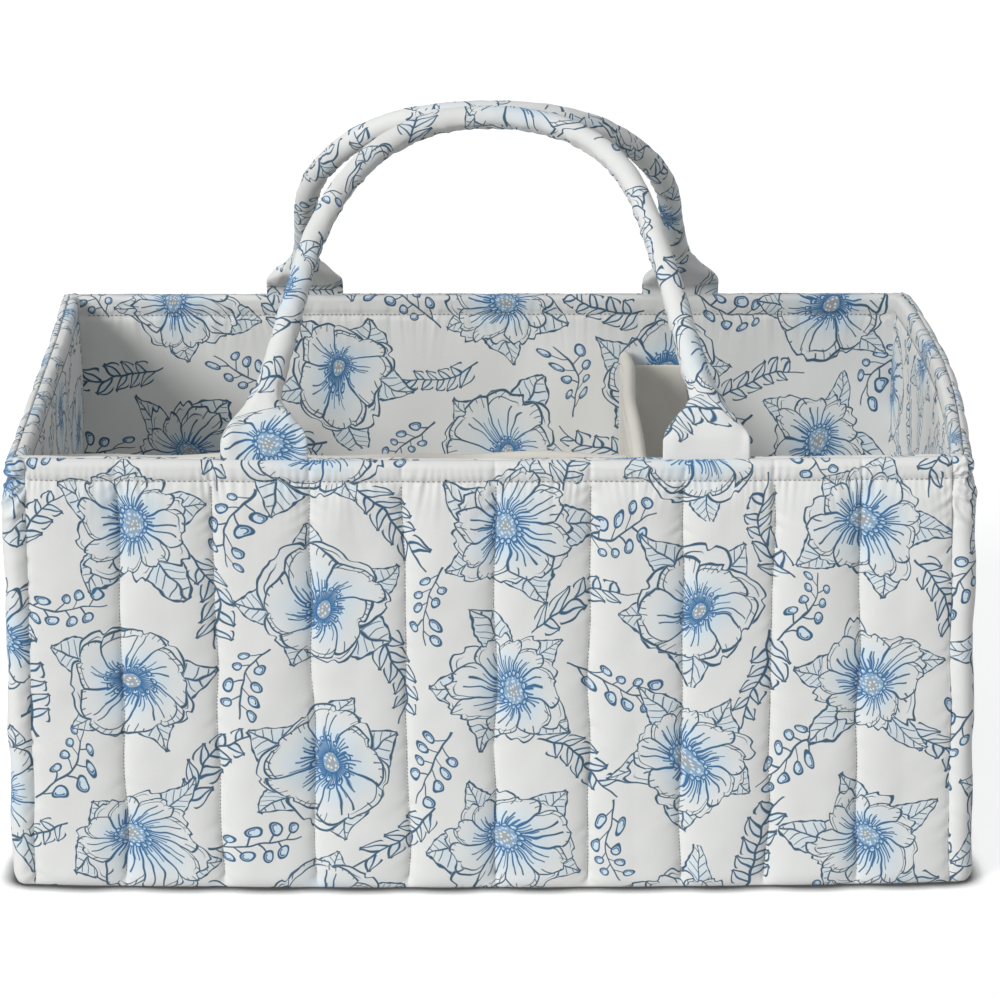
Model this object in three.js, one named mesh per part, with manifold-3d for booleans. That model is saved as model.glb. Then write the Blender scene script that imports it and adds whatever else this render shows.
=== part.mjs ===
// Diaper organizer: an open caddy with quilted, padded walls and a firm base. Two stuffed cloth handles
// lean together over the middle, and two padded dividers, held by hook and loop tape, make three
// compartments. Lengths are in millimetres and angles in degrees. +X runs to the right, +Y to the back
// and +Z up, from the middle of the underside.

import * as THREE from "three";
import { mergeVertices } from "three/addons/utils/BufferGeometryUtils.js";
import Module from "manifold-3d";

const wasm = await Module();
wasm.setup();

// Overall size of the caddy, without its handles
const bodyWidth = 380;
const bodyDepth = 254;
const bodyHeight = 178;

// Clearances
const layerGap = 0.3; // between loose layers, and between a piece and what it rests on
const sewnGap = 0.1; // under a strip that is sewn down flat
const seamGap = 0.3; // between the edges of two covers that meet at a corner seam

// Wall layers, from the outside in
const coverThickness = 4; // quilted cover with its wadding, at the crown of a channel
const paddingThickness = 3.2; // foam sheet
const liningThickness = 1.2;
const cornerInnerRadius = 1; // inside the cover where it is rolled round an upright corner
const rimInnerRadius = 1.5;

// Quilting
const frontChannels = 10;
const sideChannels = 7;
const channelDepth = 2.4; // how far a seam draws the cover in
const hemHeight = 8; // from the row of stitches under the rim up to the rim
const hemDraw = 1.1; // how far those stitches draw the cover in
const turnUnder = 7; // height of the cover's round lower edge

// Base layers, from the underside up
const baseCoverThickness = 1.2;
const boardThickness = 2;
const basePaddingThickness = 4;
const baseLiningThickness = 1.2;

// Handles
const handleSpan = 171; // between the middles of a handle's two tabs
const archHeight = 160; // from the fold at the rim to the middle of the tube at the top
const shoulderHalfWidth = 67; // where the leg of the arch runs into its round top
const shoulderHeight = 113;
const shoulderSlope = 0.5; // how far the arch leans in there for each millimetre of height
const neckSlope = 0.27;
const crownShare = 0.65; // how broad the arch's round top is
const tubeRadius = 6.25;
const sleeveThickness = 1;
const tabLength = 24;
const tabWidth = 32;
const tabThickness = 3.2;
const tabSlit = 0.8; // the flattened sleeve's inner width
const tabInset = 1; // from the wall's outer face to the fold
const rootThickness = 1.2; // the tab's end that is sewn into the wall
const rootDepth = 20; // below the rim
const topTilt = 17; // the back tube lies this many degrees lower, behind the front one

// Dividers
const dividerDrop = 20; // from the rim down to the dividers' top
const dividerThickness = 6;
const dividerClothThickness = 1;
const crossDividerX = 62;
const longDividerY = -50;
const flapReach = 28; // from the divider's middle to the flap's free edge
const flapThickness = 1.2;
const flapMargin = 8; // between the flap's ends and the divider's top and bottom
const tapeWidth = 20;
const tapeHeight = 100;
const tapeThickness = 1;

// Depths of the layers below the wall's outer face
const paddingStart = coverThickness + layerGap;
const paddingEnd = paddingStart + paddingThickness;
const liningStart = paddingEnd + layerGap;
const wallThickness = liningStart + liningThickness;
const cornerRadius = coverThickness + cornerInnerRadius;
const cornerClear = cornerRadius + layerGap; // from a corner's outer faces to what fits inside it

// Heights
const hemLine = bodyHeight - hemHeight;
const boardBottom = baseCoverThickness + layerGap;
const basePaddingBottom = boardBottom + boardThickness + layerGap;
const baseLiningBottom = basePaddingBottom + basePaddingThickness + layerGap;
const floorTop = baseLiningBottom + baseLiningThickness;
const paddingTop = bodyHeight - liningThickness - layerGap;
const dividerBottom = floorTop + layerGap;
const dividerTop = bodyHeight - dividerDrop;

// Inner half width and half depth, between the linings
const innerHalfWidth = bodyWidth / 2 - wallThickness;
const innerHalfDepth = bodyDepth / 2 - wallThickness;

const finishes = {
  print: { color: 0xdcdfe0, roughness: 0.78, metalness: 0 },
  foam: { color: 0xf1efe8, roughness: 0.95, metalness: 0 },
  board: { color: 0xc9c6bd, roughness: 0.55, metalness: 0 },
  cord: { color: 0xe9e7e0, roughness: 0.9, metalness: 0 },
  plain: { color: 0xe6e1d8, roughness: 0.88, metalness: 0 },
  tape: { color: 0xe9e6df, roughness: 0.95, metalness: 0 },
};

function named(name, geometry, finish) {
  const mesh = new THREE.Mesh(geometry, new THREE.MeshStandardMaterial(finishes[finish]));
  mesh.name = name;
  return mesh;
}

function box(low, high) {
  const size = high.map((value, axis) => value - low[axis]);
  const middle = high.map((value, axis) => (value + low[axis]) / 2);
  return new THREE.BoxGeometry(...size).translate(...middle);
}

// A shape drawn in depth (x) and height (y), extruded along a wall from -halfLength to +halfLength.
// The wall's own frame has x along the wall, y inwards from its outer face and z up.
function extrudeAlongWall(shape, middle, halfLength) {
  const settings = { depth: 2 * halfLength, bevelEnabled: false, curveSegments: 6 };
  const geometry = new THREE.ExtrudeGeometry(shape, settings);
  geometry.translate(0, 0, middle - halfLength);
  const turn = new THREE.Matrix4().makeBasis(
    new THREE.Vector3(0, 1, 0),
    new THREE.Vector3(0, 0, 1),
    new THREE.Vector3(1, 0, 0),
  );
  return geometry.applyMatrix4(turn);
}

function toSolid(geometry) {
  const bare = geometry.clone();
  bare.deleteAttribute("normal");
  bare.deleteAttribute("uv");
  const merged = mergeVertices(bare, 1e-4);
  return new wasm.Manifold(new wasm.Mesh({
    numProp: 3,
    vertProperties: new Float32Array(merged.attributes.position.array),
    triVerts: new Uint32Array(merged.index.array),
  }));
}

function fromSolid(solid) {
  const { vertProperties, triVerts } = solid.getMesh();
  const geometry = new THREE.BufferGeometry();
  geometry.setAttribute("position", new THREE.BufferAttribute(new Float32Array(vertProperties), 3));
  geometry.setIndex(new THREE.BufferAttribute(new Uint32Array(triVerts), 1));
  return geometry;
}

function fromPoints(points, triangles) {
  const geometry = new THREE.BufferGeometry();
  geometry.setAttribute("position", new THREE.Float32BufferAttribute(points.flat(), 3));
  geometry.setIndex(triangles.flat());
  return geometry;
}

function smoothStep(share) {
  const t = Math.min(Math.max(share, 0), 1);
  return t * t * (3 - 2 * t);
}

// Quilted covers

// The cover's outline in a section across the wall, from the inner lower edge round to the inner upper
// edge. inset is the depth below the outer face, and puff the share of the quilting that shows there.
function coverRows() {
  const roundSteps = 3;
  const rows = [];
  for (let step = 0; step <= roundSteps; step++) {
    const turn = (step / roundSteps) * Math.PI / 2;
    const inset = coverThickness * (1 - Math.sin(turn));
    rows.push({ inset, height: turnUnder * (1 - Math.cos(turn)), puff: 0.4 + 0.4 * Math.sin(turn) });
  }
  rows.push({ inset: 0, height: 2.5 * turnUnder, puff: 1 });
  rows.push({ inset: 0, height: hemLine - 2 * hemHeight, puff: 1 });
  rows.push({ inset: 0.3 * hemDraw, height: hemLine - 0.5 * hemHeight, puff: 0.85 });
  rows.push({ inset: hemDraw, height: hemLine, puff: 0.7 });
  for (let step = 0; step <= roundSteps; step++) {
    const turn = (step / roundSteps) * Math.PI / 2;
    const inset = coverThickness * (1 - Math.cos(turn));
    rows.push({ inset, height: bodyHeight - coverThickness * (1 - Math.sin(turn)), puff: 0.5 });
  }
  return rows;
}

// Points where a channel is drawn, as a share of its width, and how far it stands out at each
const channelSteps = [0, 0.15, 0.5, 0.85].map((share) => ({
  share,
  puff: Math.sin(Math.PI * share) ** 0.6,
}));

// Stations along a straight run of channels on the wall's outer face, from low to high
function channelStations(low, high, count) {
  const width = (high - low) / count;
  const stations = [];
  for (let channel = 0; channel < count; channel++) {
    for (const { share, puff } of channelSteps) {
      stations.push({ x: low + width * (channel + share), y: 0, outX: 0, outY: -1, puff });
    }
  }
  stations.push({ x: high, y: 0, outX: 0, outY: -1, puff: 0 });
  return stations;
}

// The side covers are longer than their walls: each end is rolled round the corner and ends at the seam
// with the front or back cover.
function sideStations() {
  const halfLength = bodyDepth / 2;
  const returnEnd = wallThickness - seamGap / 2;
  const channelWidth = bodyDepth / sideChannels;
  const firstSeam = -halfLength + channelWidth;
  const cornerSteps = 3;
  const lead = [{ x: -halfLength, y: returnEnd, outX: -1, outY: 0, puff: 0.2 }];
  for (let step = 0; step <= cornerSteps; step++) {
    const turn = (step / cornerSteps) * Math.PI / 2;
    const outX = -Math.cos(turn);
    const outY = -Math.sin(turn);
    const x = -halfLength + cornerRadius * (1 + outX);
    lead.push({ x, y: cornerRadius * (1 + outY), outX, outY, puff: 1 });
  }
  const last = channelSteps[channelSteps.length - 1];
  lead.push({ x: firstSeam - channelWidth * (1 - last.share), y: 0, outX: 0, outY: -1, puff: last.puff });
  const tail = lead.map((s) => ({ ...s, x: -s.x, outX: -s.outX })).reverse();
  return [...lead, ...channelStations(firstSeam, -firstSeam, sideChannels - 2), ...tail];
}

// A cover's outer skin is a grid of stations and rows. Its inner face is flat, and its ends are closed.
function quiltedCover(stations) {
  const rows = coverRows();
  const last = rows.length - 1;
  const points = [];
  for (const station of stations) {
    for (const row of rows) {
      const room = 1 - row.inset / coverThickness;
      const inset = row.inset + channelDepth * (1 - station.puff) * row.puff * room;
      points.push([station.x - station.outX * inset, station.y - station.outY * inset, row.height]);
    }
  }
  const at = (column, row) => column * rows.length + row;
  const triangles = [];
  for (let column = 0; column < stations.length - 1; column++) {
    for (let row = 0; row < last; row++) {
      triangles.push([at(column, row), at(column + 1, row), at(column + 1, row + 1)]);
      triangles.push([at(column, row), at(column + 1, row + 1), at(column, row + 1)]);
    }
    triangles.push([at(column, 0), at(column, last), at(column + 1, last)]);
    triangles.push([at(column, 0), at(column + 1, last), at(column + 1, 0)]);
  }
  for (const column of [0, stations.length - 1]) {
    const station = stations[column];
    const outline = rows.map((row, index) => {
      const [x, y] = points[at(column, index)];
      const outwards = (x - station.x) * station.outX + (y - station.y) * station.outY;
      return new THREE.Vector2(outwards, row.height);
    });
    for (const [a, b, c] of THREE.ShapeUtils.triangulateShape(outline, [])) {
      const area = THREE.ShapeUtils.area([outline[a], outline[b], outline[c]]);
      const facesStart = area > 0;
      const order = facesStart === (column === 0) ? [a, b, c] : [a, c, b];
      triangles.push(order.map((index) => at(column, index)));
    }
  }
  return fromPoints(points, triangles);
}

// Where each handle tab goes into its wall, along the wall
const tabPlaces = [-handleSpan / 2, handleSpan / 2];

// Room for a tab's sewn end, cut from the layers behind the cover
function cutTabSlots(solid) {
  let left = solid;
  for (const place of tabPlaces) {
    const reach = tabWidth / 2 + layerGap;
    const low = [place - reach, coverThickness, bodyHeight - rootDepth - layerGap];
    const high = [place + reach, paddingStart + rootThickness + layerGap, bodyHeight + 1];
    left = left.subtract(toSolid(box(low, high)));
  }
  return left;
}

function wallPadding(halfLength, hasHandle) {
  const low = [-halfLength, paddingStart, boardBottom];
  const sheet = box(low, [halfLength, paddingEnd, paddingTop]);
  return hasHandle ? fromSolid(cutTabSlots(toSolid(sheet))) : sheet;
}

// The lining comes up the inside of the wall and turns over the top of the padding.
function liningShape() {
  const flangeBottom = bodyHeight - liningThickness;
  const innerTurn = Math.max(rimInnerRadius - liningThickness, 0.1);
  const shape = new THREE.Shape();
  shape.moveTo(liningStart, baseLiningBottom);
  shape.lineTo(wallThickness, baseLiningBottom);
  shape.lineTo(wallThickness, bodyHeight - rimInnerRadius);
  shape.absarc(wallThickness - rimInnerRadius, bodyHeight - rimInnerRadius, rimInnerRadius, 0, Math.PI / 2);
  shape.lineTo(paddingStart, bodyHeight);
  shape.lineTo(paddingStart, flangeBottom);
  shape.absarc(liningStart - innerTurn, flangeBottom - innerTurn, innerTurn, Math.PI / 2, 0, true);
  return shape;
}

// The front and back linings also cover the tops of the corners, past the ends of their own padding.
function wallLining(halfLength, cornerReach, hasHandle) {
  const sheet = extrudeAlongWall(liningShape(), 0, halfLength);
  if (!hasHandle) {
    return sheet;
  }
  const cap = box(
    [-cornerReach, paddingStart, bodyHeight - liningThickness],
    [cornerReach, wallThickness - rimInnerRadius, bodyHeight],
  );
  return fromSolid(cutTabSlots(toSolid(sheet).add(toSolid(cap))));
}

// Handles

// The fold that a tab swings about lies just over the cover's rounded upper edge, clear of the tab's
// sewn end, which comes over that edge below it.
const rimCentreDepth = coverThickness;
const rimCentreHeight = bodyHeight - coverThickness;
const foldDistance = coverThickness + layerGap + rootThickness + layerGap + tabThickness / 2;
const foldOffset = rimCentreDepth - tabInset;
const foldHeight = rimCentreHeight + Math.sqrt(foldDistance ** 2 - foldOffset ** 2);
const foldTurn = Math.asin(foldOffset / foldDistance);

// Both handles lean inwards until their tubes meet at the top, the back one a little lower.
function handleLeans() {
  const reach = 2 * tubeRadius + layerGap;
  const tilt = THREE.MathUtils.degToRad(topTilt);
  const across = bodyDepth - 2 * tabInset - reach * Math.cos(tilt);
  const down = reach * Math.sin(tilt);
  const difference = Math.atan2(down, across);
  const middle = Math.asin(across / (2 * archHeight * Math.cos(difference)));
  return { front: middle - difference, back: middle + difference };
}

// The middle line of the stuffed tube, from one neck over the top to the other, in the handle's plane
function archCurve() {
  const foot = handleSpan / 2;
  const legPull = (shoulderHeight - tabLength) / 3;
  const topPull = (archHeight - shoulderHeight) / 2;
  const half = [
    [[foot, tabLength], [foot - neckSlope * legPull, tabLength + legPull]],
    [[shoulderHalfWidth + shoulderSlope * legPull, shoulderHeight - legPull],
      [shoulderHalfWidth, shoulderHeight]],
    [[shoulderHalfWidth - shoulderSlope * topPull, shoulderHeight + topPull],
      [crownShare * shoulderHalfWidth, archHeight]],
  ].flat();
  const at = (side, index) => new THREE.Vector3(side * half[index][0], 0, half[index][1]);
  const top = new THREE.Vector3(0, 0, archHeight);
  const curve = new THREE.CurvePath();
  curve.add(new THREE.CubicBezierCurve3(at(-1, 0), at(-1, 1), at(-1, 2), at(-1, 3)));
  curve.add(new THREE.CubicBezierCurve3(at(-1, 3), at(-1, 4), at(-1, 5), top));
  curve.add(new THREE.CubicBezierCurve3(top, at(1, 5), at(1, 4), at(1, 3)));
  curve.add(new THREE.CubicBezierCurve3(at(1, 3), at(1, 2), at(1, 1), at(1, 0)));
  return curve;
}

const archSteps = 26;
const ringSides = 12;

// One section of the sleeve at a tab: flat and wide at the fold, and round at the neck
function tabSection(side, height) {
  const share = Math.max(height, 0) / tabLength;
  const neck = smoothStep(share);
  const flare = (1 - share) ** 1.6;
  const rounding = height < 0 ? Math.sqrt(1 - (2 * height / tabThickness) ** 2) : 1;
  const halfThickness = THREE.MathUtils.lerp(tabThickness / 2, tubeRadius, neck) * rounding;
  return {
    middle: new THREE.Vector3(side * handleSpan / 2, 0, height),
    tangent: new THREE.Vector3(0, 0, -side),
    halfWidth: tubeRadius + (tabWidth / 2 - tubeRadius) * flare,
    halfThickness,
    halfSlit: THREE.MathUtils.lerp(tabSlit / 2, tubeRadius - sleeveThickness, neck),
    squareness: THREE.MathUtils.lerp(4, 2, neck),
  };
}

function sleeveSections() {
  const tabHeights = [-0.35 * tabThickness, 0];
  for (let step = 1; step < 5; step++) {
    tabHeights.push((step / 5) * tabLength);
  }
  const curve = archCurve();
  const sections = tabHeights.map((height) => tabSection(-1, height));
  for (let step = 0; step <= archSteps; step++) {
    sections.push({
      middle: curve.getPointAt(step / archSteps),
      tangent: curve.getTangentAt(step / archSteps),
      halfWidth: tubeRadius,
      halfThickness: tubeRadius,
      halfSlit: tubeRadius - sleeveThickness,
      squareness: 2,
    });
  }
  sections.push(...tabHeights.map((height) => tabSection(1, height)).reverse());
  return sections;
}

// A ring round a section: a circle, or a flattened, squarer shape at the tabs
function ring(section, halfWidth, halfThickness) {
  const flat = new THREE.Vector3(0, 1, 0);
  const wide = new THREE.Vector3().crossVectors(section.tangent, flat).normalize();
  const points = [];
  for (let side = 0; side < ringSides; side++) {
    const turn = (side / ringSides) * 2 * Math.PI;
    const squared = (value) => Math.sign(value) * Math.abs(value) ** (2 / section.squareness);
    const point = section.middle.clone();
    point.addScaledVector(wide, halfWidth * squared(Math.cos(turn)));
    point.addScaledVector(flat, halfThickness * squared(Math.sin(turn)));
    points.push(point.toArray());
  }
  return points;
}

// The sleeve is a loft through outer and inner rings, open at the ends of its two tabs.
function handleSleeve() {
  const sections = sleeveSections();
  const outer = sections.map((s) => ring(s, s.halfWidth, s.halfThickness));
  const inner = sections.map((s) => ring(s, s.halfWidth - sleeveThickness, s.halfSlit));
  const points = [...outer.flat(), ...inner.flat()];
  const innerStart = sections.length * ringSides;
  const at = (section, side) => section * ringSides + (side % ringSides);
  const triangles = [];
  for (let section = 0; section < sections.length - 1; section++) {
    for (let side = 0; side < ringSides; side++) {
      const a = at(section, side);
      const b = at(section + 1, side);
      const c = at(section + 1, side + 1);
      const d = at(section, side + 1);
      triangles.push([a, b, c], [a, c, d]);
      triangles.push([a, c, b].map((v) => v + innerStart), [a, d, c].map((v) => v + innerStart));
    }
  }
  for (let side = 0; side < ringSides; side++) {
    const lastSection = sections.length - 1;
    const a = at(0, side);
    const b = at(0, side + 1);
    const c = at(lastSection, side);
    const d = at(lastSection, side + 1);
    triangles.push([a, b, b + innerStart], [a, b + innerStart, a + innerStart]);
    triangles.push([c, d + innerStart, d], [c, c + innerStart, d + innerStart]);
  }
  return fromPoints(points, triangles);
}

// The cord that stuffs the sleeve from neck to neck
function handleCord() {
  const sides = 10;
  const radius = (tubeRadius - sleeveThickness) * Math.cos(Math.PI / ringSides) - layerGap;
  const section = new THREE.Shape();
  for (let side = 0; side < sides; side++) {
    const turn = (side / sides) * 2 * Math.PI;
    const point = [radius * Math.cos(turn), radius * Math.sin(turn)];
    if (side === 0) {
      section.moveTo(...point);
    } else {
      section.lineTo(...point);
    }
  }
  return new THREE.ExtrudeGeometry(section, { steps: archSteps, extrudePath: archCurve() });
}

// A tab's sewn end: it stands between the cover and the padding and comes over the rim to the fold.
function tabRootShape() {
  const near = layerGap;
  const far = layerGap + rootThickness;
  const endTurn = Math.PI / 2 + foldTurn;
  const shape = new THREE.Shape();
  shape.moveTo(coverThickness + near, bodyHeight - rootDepth);
  shape.lineTo(coverThickness + far, bodyHeight - rootDepth);
  shape.absarc(coverThickness, bodyHeight, far, 0, Math.PI / 2);
  shape.absarc(rimCentreDepth, rimCentreHeight, coverThickness + far, Math.PI / 2, endTurn);
  shape.absarc(rimCentreDepth, rimCentreHeight, coverThickness + near, endTurn, Math.PI / 2, true);
  shape.absarc(coverThickness, bodyHeight, near, Math.PI / 2, 0, true);
  return shape;
}

// Dividers

const dividerFacing = dividerThickness / 2;
const tapeStack = 2 * (sewnGap + tapeThickness) + layerGap; // hook and loop tape between flap and wall
const flapMiddle = (dividerFacing + flapReach) / 2;
const tapeMiddleHeight = (dividerBottom + dividerTop) / 2;

// A padded divider, in its own frame: x along it, y across it and z up. The cloth is folded over the
// board's top, and a flap at each end turns to one side (flapSide).
function dividerCover(halfLength, flapSide) {
  const inside = dividerFacing - dividerClothThickness;
  const foldMiddle = dividerTop - dividerFacing;
  const shape = new THREE.Shape();
  shape.moveTo(inside, dividerBottom);
  shape.lineTo(dividerFacing, dividerBottom);
  shape.absarc(0, foldMiddle, dividerFacing, 0, Math.PI);
  shape.lineTo(-dividerFacing, dividerBottom);
  shape.lineTo(-inside, dividerBottom);
  shape.absarc(0, foldMiddle, inside, Math.PI, 0, true);
  let cloth = toSolid(extrudeAlongWall(shape, 0, halfLength));
  for (const end of [-1, 1]) {
    const acrossEnds = [flapSide * (dividerFacing - dividerClothThickness), flapSide * flapReach];
    const alongEnds = [end * (halfLength - flapThickness), end * halfLength];
    const low = [Math.min(...alongEnds), Math.min(...acrossEnds), dividerBottom + flapMargin];
    const high = [Math.max(...alongEnds), Math.max(...acrossEnds), dividerTop - flapMargin];
    cloth = cloth.add(toSolid(box(low, high)));
  }
  return fromSolid(cloth);
}

function dividerBoard(halfLength) {
  const halfThickness = dividerFacing - dividerClothThickness - layerGap;
  const end = halfLength - flapThickness - layerGap;
  const low = [-end, -halfThickness, dividerBottom + layerGap];
  return box(low, [end, halfThickness, dividerTop - dividerFacing]);
}

// A strip of tape whose back lies at start along x. It is thickness thick in the direction of side.
function tape(start, side, middleY) {
  const ends = [start, start + side * tapeThickness];
  const low = [Math.min(...ends), middleY - tapeWidth / 2, tapeMiddleHeight - tapeHeight / 2];
  const high = [Math.max(...ends), middleY + tapeWidth / 2, tapeMiddleHeight + tapeHeight / 2];
  return box(low, high);
}

// A divider with its board and the two hook tapes on its flaps
function makeDivider(name, halfLength, flapSide, endNames) {
  const divider = new THREE.Group();
  divider.add(named(`${name}_cover`, dividerCover(halfLength, flapSide), "plain"));
  divider.add(named(`${name}_board`, dividerBoard(halfLength), "board"));
  endNames.forEach((endName, index) => {
    const end = index === 0 ? -1 : 1;
    const hooks = tape(end * (halfLength + sewnGap), end, flapSide * flapMiddle);
    divider.add(named(`${name}_${endName}_hook`, hooks, "tape"));
  });
  return divider;
}

// Assembly

const caddy = new THREE.Group();

// Each wall is built in its own frame and turned to its side of the caddy. Seen from above, the walls
// follow each other anticlockwise from the front.
function makeWall(side, quarterTurns, hasHandle) {
  const wall = new THREE.Group();
  const across = hasHandle ? bodyDepth : bodyWidth;
  const along = hasHandle ? bodyWidth : bodyDepth;
  const turn = (quarterTurns * Math.PI) / 2;
  wall.rotation.z = turn;
  wall.position.set((across / 2) * Math.sin(turn), (-across / 2) * Math.cos(turn), 0);
  const seamEnd = along / 2 - wallThickness - seamGap / 2;
  const stations = hasHandle ? channelStations(-seamEnd, seamEnd, frontChannels) : sideStations();
  const paddingHalf = along / 2 - (hasHandle ? paddingEnd + layerGap : cornerClear);
  const liningHalf = along / 2 - (hasHandle ? liningStart : wallThickness + layerGap);
  wall.add(named(`${side}_cover`, quiltedCover(stations), "print"));
  wall.add(named(`${side}_padding`, wallPadding(paddingHalf, hasHandle), "foam"));
  wall.add(named(`${side}_lining`, wallLining(liningHalf, along / 2 - cornerClear, hasHandle), "print"));
  caddy.add(wall);
  return wall;
}

const leans = handleLeans();
for (const [side, quarterTurns] of [["front", 0], ["back", 2]]) {
  const wall = makeWall(side, quarterTurns, true);
  const handle = new THREE.Group();
  handle.position.set(0, tabInset, foldHeight);
  handle.rotation.x = -leans[side];
  handle.add(named(`${side}_handle_sleeve`, handleSleeve(), "print"));
  handle.add(named(`${side}_handle_cord`, handleCord(), "cord"));
  wall.add(handle);
  for (const place of tabPlaces) {
    const root = extrudeAlongWall(tabRootShape(), place, tabWidth / 2);
    const isLeft = place < 0 === (side === "front");
    wall.add(named(`${side}_${isLeft ? "left" : "right"}_tab_root`, root, "print"));
  }
}
makeWall("right", 1, false);
makeWall("left", 3, false);

// A layer of the base, short of the walls' outer faces by depth
function baseLayer(depth, bottom, thickness) {
  const halfWidth = bodyWidth / 2 - depth;
  const halfDepth = bodyDepth / 2 - depth;
  return box([-halfWidth, -halfDepth, bottom], [halfWidth, halfDepth, bottom + thickness]);
}

const coverLayer = baseLayer(paddingStart, 0, baseCoverThickness);
const boardLayer = baseLayer(liningStart, boardBottom, boardThickness);
const foamLayer = baseLayer(liningStart, basePaddingBottom, basePaddingThickness);
const liningLayer = baseLayer(wallThickness + layerGap, baseLiningBottom, baseLiningThickness);
caddy.add(named("base_cover", coverLayer, "print"));
caddy.add(named("base_board", boardLayer, "board"));
caddy.add(named("base_padding", foamLayer, "foam"));
caddy.add(named("base_lining", liningLayer, "print"));

// The cross divider runs from the front wall to the back wall, with its flaps turned to the right.
const crossHalf = innerHalfDepth - tapeStack;
const crossDivider = makeDivider("cross_divider", crossHalf, -1, ["front", "back"]);
crossDivider.rotation.z = Math.PI / 2;
crossDivider.position.x = crossDividerX;
caddy.add(crossDivider);

// The long divider runs from the left wall to the cross divider, with its flaps turned to the back.
const longLeft = -innerHalfWidth + tapeStack;
const longRight = crossDividerX - dividerFacing - tapeStack;
const longDivider = makeDivider("long_divider", (longRight - longLeft) / 2, 1, ["left", "right"]);
longDivider.position.set((longLeft + longRight) / 2, longDividerY, 0);
caddy.add(longDivider);

// The loop tapes that the dividers' hooks hold on to
const longTapeY = longDividerY + flapMiddle;
const leftLoop = tape(-innerHalfWidth + sewnGap, 1, longTapeY);
const dividerLoop = tape(crossDividerX - dividerFacing - sewnGap, -1, longTapeY);
caddy.add(named("left_wall_loop", leftLoop, "tape"));
caddy.add(named("cross_divider_side_loop", dividerLoop, "tape"));
for (const [side, end] of [["front", -1], ["back", 1]]) {
  const loop = named(`${side}_wall_loop`, tape(end * (innerHalfDepth - sewnGap), -end, -flapMiddle), "tape");
  const turned = new THREE.Group();
  turned.rotation.z = Math.PI / 2;
  turned.position.x = crossDividerX;
  turned.add(loop);
  caddy.add(turned);
}

export default caddy;
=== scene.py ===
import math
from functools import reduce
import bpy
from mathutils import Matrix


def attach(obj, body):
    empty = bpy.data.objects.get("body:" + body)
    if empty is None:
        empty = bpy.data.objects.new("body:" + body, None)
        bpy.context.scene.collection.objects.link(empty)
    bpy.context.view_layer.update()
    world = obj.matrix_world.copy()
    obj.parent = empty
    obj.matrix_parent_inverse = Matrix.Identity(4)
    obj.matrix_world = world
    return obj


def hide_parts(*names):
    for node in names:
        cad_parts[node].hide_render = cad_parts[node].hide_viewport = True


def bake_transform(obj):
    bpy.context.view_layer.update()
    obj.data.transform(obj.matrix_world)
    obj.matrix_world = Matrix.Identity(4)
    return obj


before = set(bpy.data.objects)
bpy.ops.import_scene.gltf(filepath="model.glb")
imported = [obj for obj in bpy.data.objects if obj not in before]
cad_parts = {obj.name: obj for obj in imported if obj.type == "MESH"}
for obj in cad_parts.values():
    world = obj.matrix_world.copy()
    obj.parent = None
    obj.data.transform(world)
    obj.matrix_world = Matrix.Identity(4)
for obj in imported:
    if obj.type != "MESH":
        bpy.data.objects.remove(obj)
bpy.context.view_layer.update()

# A padded fabric caddy: quilted walls in upright channels, stuffed cloth handles and lift-out dividers.
# Lengths are in millimetres until a mesh is made, and meshes are in metres.
from types import SimpleNamespace

import bpy
import numpy as np
from mathutils import Matrix, Vector

bpy.ops.object.select_all(action="DESELECT")

MM = 0.001

# Sizes as in the part's source
half_width, half_depth, body_height = 190.0, 127.0, 178.0
wall_thickness = 9.0
padding_inside = 7.5        # where the padding's inner face lies, from the wall's outer face
cover_thickness = 4.2
corner_radius = 5.0
corner_return = 8.85        # how far a side cover reaches round onto the front and back
front_half = 180.85
front_channel = 36.17
side_seams = (18.1, 54.4, 90.7)
channel_depth = 2.9
hem_height = 169.2          # the row of stitches under the rim, at the corners
rim_radius = 4.0
rim_start = body_height - rim_radius
seam_depth = 4.35           # where cover and lining meet on the rim, from the outer face
fold_height = 180.7646
tab_length, tab_half = 24.0, 17.0

# Sizes of soft parts, taken closer from the photograph
front_sag, back_rise = 1.5, 3.2   # how far the front wall's rim hangs, and the back one's stands up
neck_radius, tube_radius = 5.4, 4.8


# Uneven waves that come out the same on each run

def waves(x, lengths, seed):
    """Uneven waves along a line, from about -1 to 1."""
    draw = np.random.default_rng(seed)
    return sum(np.sin(2 * np.pi * (x / length + draw.random())) for length in lengths) / len(lengths) ** 0.6


def mottle(x, y, size, seed, count=9):
    """Soft lumps over a surface, from about -1 to 1."""
    draw = np.random.default_rng(seed)
    total = 0
    for _ in range(count):
        turn = draw.random() * 2 * np.pi
        length = size * (0.7 + 0.8 * draw.random())
        place = (x * np.cos(turn) + y * np.sin(turn)) / length
        total = total + np.sin(2 * np.pi * (place + draw.random()))
    return total / count ** 0.5


def ease(t):
    """0 below 0, 1 above 1, and smooth between them."""
    t = np.clip(t, 0, 1)
    return t * t * (3 - 2 * t)


def hump(x, width):
    """A smooth bump of height 1 round 0."""
    return np.exp(-(x / width) ** 2)


def unit(vectors):
    return vectors / np.linalg.norm(vectors, axis=-1, keepdims=True)


def running_length(points):
    """How far along a line each of its points lies."""
    steps = np.linalg.norm(np.diff(points, axis=0), axis=-1)
    return np.concatenate([[0], np.cumsum(steps)])


# Meshes and pieces

def smooth_object(name, mesh, material):
    thing = bpy.data.objects.new(name, mesh)
    bpy.context.scene.collection.objects.link(thing)
    mesh.materials.append(material)
    mesh.polygons.foreach_set("use_smooth", [True] * len(mesh.polygons))
    return thing


def new_piece(name, mesh, body, material):
    """A visible piece that rides on a body, or on none."""
    piece = smooth_object(name, mesh, material)
    if body:
        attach(piece, body)
    return piece


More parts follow.
